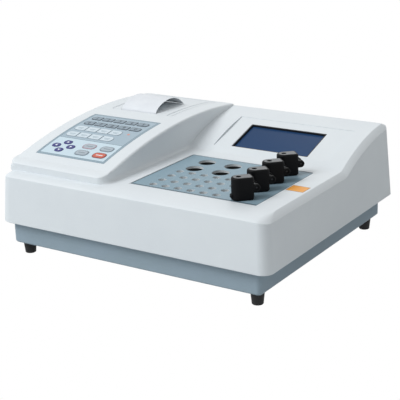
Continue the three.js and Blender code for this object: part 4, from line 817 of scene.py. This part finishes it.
def wellKind(x, y):
    if x > measuringLeft:
        return "measuring"
    return "reagent" if y > reagentFront else "cuvette"


def boredWells(kind, profile, sides):
    return joined(*[turned(profile, sides, (x, y, 0)) for x, y in wellPlaces(kind)])


# Plate with chamfered holes, their walls pale metal, and a dark band round its edge that is painted shade of
# the gap round the plate
def makeDeck():
    top, under = plate["top"], plate["top"] - plate["thick"]
    body = slab(chamfered(under, top, *plate["edges"]), boxOf(plate), plate["corner"])
    piece = tempObject("deck_cover", body)
    for kind, row in wells.items():
        radius, wide = row["radius"], row["radius"] + row["chamfer"]
        profile = [(radius, under - margin), (radius, top - row["chamfer"]), (wide, top),
                   (wide, top + margin)]
        carve(piece, "DIFFERENCE", boredWells(kind, profile, row["sides"][0]))
    # the ground shows as the dark band round the plate: painted shade
    left, right, front, back = boxOf(plate, -deckFilmAndShadeLine["shadeBorder"])
    front = plate["front"] + deckFilmAndShadeLine["frontShadeBorder"]
    printOn(finish["deckFilmAndShadeLine"], {**deckFilmAndShadeLine, "fields": [("film", (left, right, front, back))]})

    def isWall(x, y, z, normal):
        return abs(normal.z) < wallNormal

    walls = innerFaces(piece, boxOf(plate), isWall)
    finishPiece(piece, ("deckFilmAndShadeLine", "boredAluminium"), "case", "deck_panel", "deck_plate", angle=28,
                faceLooks=walls)


# Block under the plate: each bore narrows a hair where its painted shade begins, and ends in a cone
def makeBlock(name, row):
    low, top = row["low"], plate["top"] - plate["thick"] - fit
    body = slab(chamfered(low, top, *boreShape["edges"]), row["box"], boreShape["corner"], 2)
    piece = tempObject(name, body)
    for kind in row["kinds"]:
        well = wells[kind]
        wide, slim = well["radius"], well["radius"] - boreShape["step"]
        floor, dark = top - well["depth"], plate["top"] - well["pale"]
        cone = [(slim - inset, floor + up) for inset, up in boreShape["cone"]]
        tip = wide * boreShape["tipShare"]
        profile = [(tip, floor), *cone, (slim, dark), (wide, dark), (wide, top + margin)]
        carve(piece, "DIFFERENCE", boredWells(kind, profile, well["sides"][1]))

    # faces of the bores below the pale depth take the painted shade
    def isPaintedShade(x, y, z, normal):
        return low + margin < z < plate["top"] - wells[wellKind(x, y)]["pale"] + 2 * hair

    bores = innerFaces(piece, row["box"], isPaintedShade)
    finishPiece(piece, row["looks"], "case", row["slot"], row["node"], angle=28, faceLooks=bores)


makeDeck()
for name, row in blocks.items():
    makeBlock(name, row)
print("base, feet, deck and wells made")

# Measuring heads, each in a frame of its own: long way X, origin on the plate under the round end.
# Foot, lip and cap are levels, hole and capHole are profiles of radius and height.
head = {
    "turn": 45, "width": 18, "reach": 17, "height": 27.5, "corner": 4, "topEdge": 2.2, "lift": 0.4,
    "foot": ((0.9, 0.4), (0.25, 0.65), (0, 1.3)), "pivotX": 19.6, "pivotZ": 14.5,
    "knuckle": 4.4, "knuckleEdge": 0.7, "web": 4, "webInset": 0.35,
    "lip": ((0.8, 2.5), (0.1, 3.1), (0.1, 6.4), (0.8, 7.0)), "lipOut": 1.4, "lipHalf": 4, "lipCorner": 1.3,
    "slotFront": 9.8, "slotBack": 9.4, "slotHalf": 3.3, "slotRise": 6.4, "heel": 4, "heelHalf": 20,
    "hole": ((2.5, -5), (2.5, 26.8), (3.1, 27.4), (3.1, 35)), "eye": 2.9, "eyeDeep": 0.7, "bore": 1.8,
    "cap": ((2.5, 27.3), (2.5, 27.52), (2.9, 27.55)), "capHole": ((3.2, 20), (3.2, 35)),
    "postFront": 8.5, "postBack": 3.5, "postHalf": 3, "pin": 1.5, "pinShort": 1.5, "pinEdge": 0.3, "past": 30,
}


# Half circle at the front end, quarter arcs at the two rear corners: x + r * cos a, y + r * sin a
def headRing(inset, z):
    half, corner, reach = head["width"] / 2, head["corner"], head["reach"]
    runs = ((0, 0, half, quarter, math.pi, 20), (reach - corner, corner - half, corner, -quarter, quarter, 6),
            (reach - corner, half - corner, corner, 0, quarter, 6))
    arcs = []
    for x, y, radius, start, span, count in runs:
        angle = start + np.linspace(0, span, count + 1)
        arcs.append(pointsAt(x + (radius - inset) * np.cos(angle), y + (radius - inset) * np.sin(angle), z))
    return np.concatenate(arcs)


# Body: the top edge is a quarter circle, inset = r * (1 - cos a), z = height - r + r * sin a
def headBody():
    edge, low = head["topEdge"], head["height"] - head["topEdge"]
    levels = list(head["foot"])
    levels += [(edge * (1 - math.cos(a)), low + edge * math.sin(a)) for a in np.linspace(0, quarter, 9)]
    return skin([headRing(inset, z) for inset, z in levels])


def makeHead(number, place):
    turn = Matrix.Translation((*place, plate["top"])) @ Matrix.Rotation(math.radians(head["turn"]), 4, "Z")
    pivotX, pivotZ, half, past = head["pivotX"], head["pivotZ"], head["width"] / 2, head["past"]
    reach, knuckle, heel, post = head["reach"], head["knuckle"], head["heel"], head["postHalf"]

    def alongPivot(profile, sides):
        return turned(profile, sides, (pivotX, 0, pivotZ), "Y")

    piece = tempObject(f"reading_head_{number}", headBody())
    webHalf, webRise = half - head["webInset"], knuckle - hair
    web = boxPart(reach - head["web"], pivotX, -webHalf, webHalf, pivotZ - webRise, pivotZ + webRise)
    lipBox = (-half - head["lipOut"], head["lipHalf"] - half, -head["lipHalf"], head["lipHalf"])
    lip = slab(head["lip"], lipBox, head["lipCorner"], 5)
    carve(piece, "UNION", alongPivot(rod(knuckle, -half, half, head["knuckleEdge"]), 40), web, lip)
    slot = boxPart(pivotX - head["slotFront"], pivotX + head["slotBack"], -head["slotHalf"], head["slotHalf"],
                   -overrun, pivotZ + head["slotRise"])
    # the heel is cleared to a quarter round, so that the head can tip
    side, heelTop = head["heelHalf"], head["lift"] + heel
    heelTool = tempObject("heel", boxPart(reach - heel, reach + overrun, -side, side, -overrun, heelTop))
    heelRound = turned([(heel, -past), (heel, past)], 40, (reach - heel, 0, heelTop), "Y")
    carve(heelTool, "DIFFERENCE", heelRound)
    ends = ((-half - margin, head["eyeDeep"] - half), (half - head["eyeDeep"], half + margin))
    eyes = joined(*[alongPivot(rod(head["eye"], start, end, hair), 36) for start, end in ends])
    bore = alongPivot([(head["bore"], -past), (head["bore"], past)], 32)
    carve(piece, "DIFFERENCE", slot, heelTool, turned(head["hole"], 36, (0, 0, 0)), eyes, bore)
    piece.data.transform(turnMetres(turn))
    finishPiece(piece, ("blackAcetal",), f"head_{number}", "head", f"measuring_head_{number}", angle=30)

    # top face round the hole painted paler, a painted sheen of the light on the top, as a thin skin inside
    # the rounded edge
    cap = tempObject(f"head_top_{number}", skin([headRing(inset, z) for inset, z in head["cap"]]))
    carve(cap, "DIFFERENCE", turned(head["capHole"], 36, (0, 0, 0)))
    cap.data.transform(turnMetres(turn))
    finishPiece(cap, ("headTopSheen",), f"head_{number}", "head")

    stem = boxPart(pivotX - head["postFront"], pivotX - head["postBack"], -post, post, 0, pivotZ + post)
    piece = tempObject(f"post_{number}", stem)
    armFront = pivotX - head["postFront"] + 2 * hair
    arm = boxPart(armFront, pivotX, -post, post, pivotZ - post, pivotZ + post)
    carve(piece, "UNION", arm, alongPivot([(post, -post), (post, post)], 32))
    carve(piece, "DIFFERENCE", bore)
    piece.data.transform(turnMetres(turn))
    finishPiece(piece, ("blastedSteel",), "case", "hinge_steel", f"hinge_post_{number}", bevel=0.3)
    end = half - head["pinShort"]
    pin = alongPivot(rod(head["pin"], -end, end, head["pinEdge"]), 32)
    newPiece(f"pivot_pin_{number}", placed(pin, turn), ("blackOxide",), "case", "pin_steel",
             f"hinge_pin_{number}")


for number, place in enumerate(wellPlaces("measuring")):
    makeHead(number + 1, place)
print("heads made")

# Display: black bezel with a flange under the case, and the glass. Heights are from the field's plane.
display = {"gap": 0.3, "wall": 1.2, "top": -0.4, "edge": 0.2, "floor": -4.8, "low": -13.8, "flange": 6,
           "flangeLevels": (-7.3, -3.6), "glassInset": 1.8, "glassCorner": 0.8, "glassLevels": (-4.5, -3)}


def fieldSlab(by, levels, corner=field["corner"]):
    return placed(slab(levels, grown(fieldOpening, by), corner), fieldFrame)


def makeDisplay():
    gap, top, edge = display["gap"], display["top"], display["edge"]
    body = fieldSlab(-gap, [(0, display["low"]), (0, top - edge), (edge, top)])
    piece = tempObject("display_bezel", body)
    carve(piece, "UNION", fieldSlab(display["flange"], [(0, z) for z in display["flangeLevels"]]))
    carve(piece, "DIFFERENCE", fieldSlab(-gap - display["wall"], [(0, display["floor"]), (0, overrun)]))
    finishPiece(piece, ("blackNylon",), "case", "display_frame", "display_module")
    levels = chamfered(*display["glassLevels"], edge, edge)
    glass = fieldSlab(-display["glassInset"], levels, display["glassCorner"])
    newPiece("lcd_glass", glass, ("displayGlass",), "case", "display_glass", "display_window")


makeDisplay()

# Keypad: one entry per kind of key, with its outline, its printed ring and film, and its mark
keyKinds = {
    "number": {"length": 16.4, "breadth": 10.4, "radius": 4.6, "ring": 1.1, "slot": "number_key",
               "looks": ("darkInk", "numberFilm")},
    "soft": {"length": 17.8, "breadth": 12.8, "radius": 5.6, "ring": 0.5, "slot": "soft_key",
             "looks": ("greyKeyFilm", "softFilm"), "mark": "_marks_", "markLook": "markInk",
             "bars": ((-4.6, 4.6, -0.2, 1.1), (-3.2, 3.6, -2.6, -1.5))},
    "arrow": {"length": 12.6, "breadth": 9.4, "radius": 4.5, "ring": 0.7, "slot": "arrow_key",
              "looks": ("navyInk", "navyInk"), "mark": "_sign_", "markLook": "whiteInk",
              "tip": ((2.3, 0), (-1.4, 2.3), (-1.4, -2.3))},
    "command": {"length": 20, "breadth": 12.4, "radius": 5.4, "ring": 1.5, "slot": "command_key",
                "looks": ("greyKeyRing", "greyKeyFilm"), "mark": "_mark_", "markLook": "greyKeyRing",
                "bars": ((-5.2, 5.2, -0.8, 0.8),)},
}
keyColours = {
    "command_key_back_left": {"looks": ("mauveRing", "greyKeyFilm")},
    "command_key_red": {"looks": ("redKeyRing", "redKeyFilm"), "slot": "red_key", "markLook": "whiteInk"},
}
keyGrid = {"centre": -119, "pitch": 19.2, "number": (-6.5, -24.3), "soft": (-42.3, -61),
           "arrows": (-146.2, -94), "arrowStep": (11.8, 10),
           "command": {"back_left": (-109.4, -86.2), "back_right": (-81.2, -86.2),
                       "front_left": (-109.4, -102.8), "red": (-81.2, -102.8)}}
arrowWays = {"left": (-1, 0, 180), "up": (0, 1, 90), "down": (0, -1, 270), "right": (1, 0, 0)}
keyShape = {"low": -1.1, "lowEdge": 0.25, "top": 0.6, "topEdge": ((0, -0.3), (0.1, -0.08), (0.32, 0)),
            "filmHigh": 0.001, "gap": 0.3, "hole": 8, "squareCorner": 0.9, "figure": 8.4, "bold": 0.16,
            "inkHigh": 0.04, "markHigh": 0.06}


# Kind, node, place and, for the left and the right end, whether it is rounded
def keyList():
    keys = []
    for i in range(5):
        x = keyGrid["centre"] + keyGrid["pitch"] * (i - 2)
        for y, digit in zip(keyGrid["number"], (i + 1, (i + 6) % 10)):
            keys.append(("number", f"number_key_{digit}", x, y, (i == 0, i == 4)))
        if i < 4:
            for y, count in zip(keyGrid["soft"], (i + 1, i + 5)):
                keys.append(("soft", f"soft_key_{count}", x, y, (i == 0, i == 3)))
    for side, (stepX, stepY, _) in arrowWays.items():
        x = keyGrid["arrows"][0] + keyGrid["arrowStep"][0] * stepX
        y = keyGrid["arrows"][1] + keyGrid["arrowStep"][1] * stepY
        keys.append(("arrow", f"arrow_key_{side}", x, y, (True, True)))
    for place, (x, y) in keyGrid["command"].items():
        keys.append(("command", f"command_key_{place}", x, y, (True, True)))
    return keys


def keyStand(x, y, breadth):
    climb = float(towerHeight(y + breadth / 2) - towerHeight(y - breadth / 2))
    lift = Matrix.Translation((x, y, float(towerHeight(y))))
    return lift @ Matrix.Rotation(math.atan2(climb, breadth), 4, "X")


def keySlab(row, ends, levels):
    left, right = (row["radius"] if end else keyShape["squareCorner"] for end in ends)
    length, breadth = row["length"] / 2, row["breadth"] / 2
    return slab(levels, (-length, length, -breadth, breadth), ((right, right), (left, left)), 7)


# Printed bars or an arrow's tip, raised a hair over the key
def keyMark(row, node):
    low, high = keyShape["top"], keyShape["top"] + keyShape["markHigh"]
    if "bars" in row:
        return joined(*[boxPart(*bar, low, high) for bar in row["bars"]])
    turn = Matrix.Rotation(math.radians(arrowWays[node.split("_")[-1]][2]), 4, "Z")
    return placed(skin([[(x, y, z) for x, y in row["tip"]] for z in (low, high)]), turn)


# Figure or letter as a thin mesh, lying in the plane of the matrix
def makeFigure(name, text, size, matrix, look, body, slot):
    data = bpy.data.curves.new(name, "FONT")
    data.body, data.size, data.extrude = text, size / metre, keyShape["inkHigh"] / metre
    data.align_x, data.align_y, data.offset = "CENTER", "CENTER", keyShape["bold"] / metre
    letter = bpy.data.objects.new(name + "_text", data)
    bpy.context.scene.collection.objects.link(letter)
    bpy.context.view_layer.update()
    graph = bpy.context.evaluated_depsgraph_get()
    mesh = bpy.data.meshes.new_from_object(letter.evaluated_get(graph))
    bpy.data.objects.remove(letter)
    bpy.data.curves.remove(data)
    mesh.transform(turnMetres(matrix))
    piece = bpy.data.objects.new(name, mesh)
    bpy.context.scene.collection.objects.link(piece)
    return finishPiece(piece, (look,), body, slot)


# Makes every key and gives back the holes that the film needs for them
def makeKeys():
    low, top, edge, gap, deep = (keyShape[key] for key in ("low", "top", "lowEdge", "gap", "hole"))
    sides = [(edge, low), (0, low + edge)] + [(inset, top + up) for inset, up in keyShape["topEdge"]]
    inkPlane = Matrix.Translation((0, 0, top + keyShape["inkHigh"]))
    holes = []
    for kind, node, x, y, ends in keyList():
        row = {**keyKinds[kind], **keyColours.get(node, {})}
        body, slot = node.replace("_key_", "_button_"), row["slot"]
        stand = keyStand(x, y, row["breadth"])
        cap = placed(keySlab(row, ends, [*sides, (row["ring"], top + keyShape["filmHigh"])]), stand)
        newPiece(node.replace("_key_", "_cap_"), cap, row["looks"], body, slot, node,
                 faceLooks=topOnly(cap), angle=50)
        holes.append(placed(keySlab(row, ends, [(-gap, -deep), (-gap, deep)]), stand))
        if kind == "number":
            makeFigure("figure_" + node[-1], node[-1], keyShape["figure"], stand @ inkPlane, "darkInk",
                       body, slot)
        else:
            mark = placed(keyMark(row, node), stand)
            newPiece(node.replace("_key_", row["mark"]), mark, (row["markLook"],), body, slot)
    return holes


keypadPrint = {
    "film": "#a2b5c1", "pale": "#c6d9e3", "band": "#8ea2ae", "line": "#5d7480",
    "fields": [
        ("band", (-173.3, -62.7, -118, 9)), ("line", (-170.0, -66.0, -114.7, 5.7)),
        ("film", (-169.5, -66.5, -114.2, 5.2)), ("line", (-169.5, -66.5, -72.9, -72.2)),
        ("pale", (-169.5, -66.5, -114.2, -72.9)),
    ],
}
lamp = {"x": -80, "y": -41, "sides": 20, "levels": ((1.9, 0), (1.9, 0.22), (1.5, 0.3))}    # radius and height


# Film over the keypad, with the keys' holes, and the status lamp's dot
def makeOverlay(holes):
    levels = [(0, keypad["low"]), *roundedOver(keypad["top"], keypad["edge"])]
    piece = tempObject("keypad_film", towerSlab(boxOf(keypad), keypad["corner"], levels, 40))
    carve(piece, "DIFFERENCE", joined(*holes))
    printOn(finish["keypadPrint"], keypadPrint)
    finishPiece(piece, ("keypadPrint",), "case", "keypad_overlay", "keypad_overlay", angle=30)
    angle = np.arange(lamp["sides"]) * 2 * math.pi / lamp["sides"]
    dot = skin([onTower(lamp["x"] + r * np.cos(angle), lamp["y"] + r * np.sin(angle), lift)
                for r, lift in lamp["levels"]])
    newPiece("status_lamp", dot, ("orangeLamp",), "case", "keypad_overlay")


makeOverlay(makeKeys())
print("display and keypad made")


# Printer cover with its hinge barrel, slot and groove
def makeCover():
    left, right, front, back = boxOf(cover)
    hinge, edge, thick = (0, cover["hingeY"], cover["hingeZ"]), cover["edge"], cover["thick"]
    levels = [(edge, -thick), (0, edge - thick), *roundedOver(0, edge)]
    piece = tempObject("paper_cover", towerSlab(boxOf(cover), cover["corner"], levels, 40))
    barrel = rod(cover["barrel"], left + hair, right - hair, edge)
    stubs = rod(cover["stub"], left - cover["stubLength"], right + cover["stubLength"], cover["stubEdge"])
    carve(piece, "UNION", turned(barrel, 40, hinge, "X"), turned(stubs, 32, hinge, "X"))
    top, half = float(towerHeight(front)), cover["lineWide"] / 2
    slot = boxPart(cover["slotLeft"], cover["slotRight"], front - overrun, front + cover["slot"],
                   top - cover["slotDeep"], top + overrun)
    line = (cover["lineX"] - half, cover["lineX"] + half, front - margin, back - cover["lineEnd"])
    groove = towerSlab(line, 2 * hair, [(0, -cover["lineDeep"]), (0, margin)], 40)
    carve(piece, "DIFFERENCE", slot, groove)
    finishPiece(piece, ("satinAbs",), "cover", "casing", "printer_cover", angle=30)


# The strip's loop: shares of the way from the slot to where it lands, and of the rise
paper = {
    "left": -151.6, "right": -94.2, "thick": 0.45, "exitY": 41.8, "landY": 110, "lift": 0.6, "rise": 13.6,
    "tail": 5,
    "loopShares": ((0, 0), (0.03, 0.24), (0.1, 0.5), (0.2, 0.73), (0.34, 0.92), (0.48, 1), (0.62, 0.97),
                   (0.74, 0.83), (0.86, 0.55), (1, 0)),
}


# Smooth line through points, Catmull-Rom: over each span from b to c, with a before and d after,
# p(t) = (2 b + (c - a) t + (2a - 5b + 4c - d) t^2 + (3b - a - 3c + d) t^3) / 2
def smoothLine(points, steps):
    points = np.asarray(points, float)
    padded = np.concatenate([points[:1] * 2 - points[1:2], points, points[-1:] * 2 - points[-2:-1]])
    a, b, c, d = padded[:-3, None], padded[1:-2, None], padded[2:-1, None], padded[3:, None]
    t = (np.arange(steps) / steps)[:, None]
    line = (2 * b + (c - a) * t + (2 * a - 5 * b + 4 * c - d) * t ** 2 + (3 * b - a - 3 * c + d) * t ** 3) / 2
    return np.concatenate([line.reshape(-1, 2), points[-1:]])


# Strip of paper: a thin section carried along the line, offset by half its thickness to both sides
def makePaper():
    exitZ = float(towerHeight(paper["exitY"]))
    landZ = float(towerHeight(paper["landY"])) + paper["lift"]
    along, up = np.array(paper["loopShares"]).T
    loopY = paper["exitY"] + (paper["landY"] - paper["exitY"]) * along
    loopZ = exitZ + (landZ - exitZ) * along + paper["rise"] * up
    points = np.concatenate([[(paper["exitY"], exitZ - paper["tail"])], np.stack([loopY, loopZ], -1)])
    line = smoothLine(points, 9)
    way = np.gradient(line, axis=0)
    way /= np.linalg.norm(way, axis=1)[:, None]
    outY, outZ = np.stack([-way[:, 1], way[:, 0]])[..., None] * paper["thick"] / 2
    side = np.array([1, 1, -1, -1])
    x = np.array([paper["left"], paper["right"], paper["right"], paper["left"]])
    rings = pointsAt(x, line[:, :1] + side * outY, line[:, 1:] + side * outZ)
    newPiece("printed_strip", skin(rings), ("thermalPaper",), "cover", "paper", "paper_strip", angle=30)


roll = {"y": 104, "z": 118, "radius": 22, "core": 6, "card": 1.4, "edge": 0.3}
platen = {"y": 54, "z": 138, "left": -152.5, "right": -93.3, "radius": 6, "edge": 0.6,
          "shaft": 2.5, "shaftOut": 4.6, "shaftEdge": 0.4}


# Roll and platen: profiles of radius and x, turned about the X direction
def makeRollers():
    left, right, radius, core = paper["left"], paper["right"], roll["radius"], roll["core"]
    inner, edge = core + roll["card"], roll["edge"]
    centre = (0, roll["y"], roll["z"])
    wound = [(radius - edge, left), (radius, left + edge), (radius, right - edge), (radius - edge, right),
             (inner, right), (inner, left)]
    newPiece("wound_paper", turned(wound, 96, centre, "X", closed=True), ("thermalPaper",), "roll", "paper",
             "paper_roll")
    card = [(inner, left), (inner, right), (core, right), (core, left)]
    newPiece("card_core", turned(card, 48, centre, "X", closed=True), ("cardCore",), "roll", "paper")
    centre, out = (0, platen["y"], platen["z"]), platen["shaftOut"]
    rubber = rod(platen["radius"], platen["left"], platen["right"], platen["edge"])
    newPiece("rubber_platen", turned(rubber, 48, centre, "X"), ("rollerRubber",), "platen", "platen_rubber",
             "platen_roller")
    shaft = rod(platen["shaft"], platen["left"] - out, platen["right"] + out, platen["shaftEdge"])
    newPiece("platen_shaft", turned(shaft, 32, centre, "X"), ("groundSteel",), "platen", "pin_steel")


makeCover()
makePaper()
makeRollers()
roundedCopy("printer_mechanism", "printer_tub", ("printerNylon",), "case", "printer_frame", 0.4)
print("printer made")

# Rear: panel, main board with its data port, mains inlet, rocker and power supply. What lies on each
# side of a board's face, or of another such value, tells which finish a face has.
boardFace = {"y": 149.8, "chips": 2, "port": 0.5}
inlet = {"x": 130.5, "z": 81, "front": 147, "halfWide": 9, "halfHigh": 4.5}
supply = {"board": 25.5, "chipsRight": -125}


def boardLooks(x, y, z):
    if y > boardFace["y"] + boardFace["port"]:
        return 2
    return 1 if y < boardFace["y"] - boardFace["chips"] else 0


def inletLooks(x, y, z):
    near = abs(x - inlet["x"]) < inlet["halfWide"] and abs(z - inlet["z"]) < inlet["halfHigh"]
    return int(y > inlet["front"] and near)


def supplyLooks(x, y, z):
    if z < supply["board"]:
        return 0
    return 1 if x < supply["chipsRight"] else 2


# The shell and its cut are half a width and two ends, pin and nut what a rod takes
port = {"x": 20, "z": 81, "shell": (8.4, (163.9, 165.9)), "cut": (7.7, (164.6, 166.5)), "slant": 1.2,
        "flat": 0.2, "pinPitch": 2.75, "pinRows": ((14.45, 82.4, 5), (15.8, 79.6, 4)),
        "pin": (0.55, 164.3, 164.9, 0.1), "nuts": (7.6, 32.4), "nut": (2.4, 163.8, 166.2, 0.3)}


# Ring of the port's shell: narrower by the slant at its lower side
def portRing(half, y):
    low, high = half - port["slant"], half / 2 - port["flat"]
    corners = ((-half, high), (half, high), (low, -high), (-low, -high))
    return [(port["x"] + x, y, port["z"] + z) for x, z in corners]


def makePort():
    shell, cut = (skin([portRing(half, y) for y in ends]) for half, ends in (port["shell"], port["cut"]))
    piece = tempObject("port_shell", shell)
    carve(piece, "DIFFERENCE", cut)
    finishPiece(piece, ("groundSteel",), "case", "pin_steel", bevel=0.3)
    pins = [(x + port["pinPitch"] * i, z) for x, z, count in port["pinRows"] for i in range(count)]
    contacts = joined(*[turned(rod(*port["pin"]), 12, (x, 0, z), "Y") for x, z in pins])
    newPiece("port_contacts", contacts, ("brass",), "case", "pin_steel")
    for number, x in enumerate(port["nuts"]):
        nut = turned(rod(*port["nut"]), 6, (x, 0, port["z"]), "Y")
        newPiece(f"port_nut_{number + 1}", nut, ("groundSteel",), "case", "pin_steel")


# Rocker with its two signs, each on one of its slopes
rocker = {"x": 155.5, "y": 158, "z": 81, "tilt": 7, "out": 6.24, "up": 4.9, "rise": 1.6, "half": 9.5,
          "sign": 5.0}


def makeRocker():
    roundedCopy("power_switch", "switch_rocker", ("inletNylon",), "rocker", "rocker", 0.4)
    tilt = Matrix.Translation((rocker["x"], rocker["y"], rocker["z"]))
    tilt = tilt @ Matrix.Rotation(math.radians(rocker["tilt"]), 4, "X")
    facing = Matrix.Rotation(math.pi, 4, "Z") @ Matrix.Rotation(quarter, 4, "X")
    for sign, text in ((1, "I"), (-1, "O")):
        slope = math.atan2(rocker["rise"] * sign, rocker["half"])
        plane = Matrix.Translation((0, rocker["out"], rocker["up"] * sign)) @ Matrix.Rotation(-slope, 4, "X")
        makeFigure("switch_sign_" + text, text, rocker["sign"], tilt @ plane @ facing, "whiteInk",
                   "rocker", "rocker")


# A screw's profile is radius and height over the panel's face
screws = {"places": ((-24, 68), (-24, 94), (60, 68), (60, 94)), "face": 160,
          "profile": ((3.1, -0.3), (3.1, 0.2), (2.9, 0.9), (2.2, 1.45), (1.35, 1.6), (1.1, 0.75),
                      (0.05, 0.55))}


def makeRear():
    roundedCopy("rear_panel", "vented_panel", ("rearPowderCoat",), "case", "rear_panel", 0.25)
    for number, (x, z) in enumerate(screws["places"]):
        part = turned(screws["profile"], 24, (x, screws["face"], z), "Y")
        newPiece(f"panel_screw_{number + 1}", part, ("blackOxide",), "case", "rear_panel")
    roundedCopy("main_board", "control_board", ("solderMask", "blackChip", "groundSteel"), "case",
                "circuit_board", 0.25, boardLooks)
    makePort()
    roundedCopy("power_inlet", "mains_inlet", ("inletNylon", "brass"), "case", "inlet_plastic", 0.5,
                inletLooks)
    makeRocker()
    roundedCopy("power_supply", "supply_board", ("powerBoard", "blackChip", "yellowTape"), "case",
                "power_board", 0.4, supplyLooks)


makeRear()
print("rear made")

# Blank sticker on the deck. Its levels rise from the deck.
sticker = {"box": (162, 185.5, -59, -38.5), "corner": 0.6,
           "levels": ((0, -0.1), (0, 0.08), (0.1, 0.12), (0.9, 0.121))}


def makeSticker():
    levels = [(inset, case["deck"] + up) for inset, up in sticker["levels"]]
    part = slab(levels, sticker["box"], sticker["corner"], 3)
    newPiece("deck_sticker", part, ("stickerLine", "orangeVinyl"), "case", "casing", faceLooks=topOnly(part))


makeSticker()
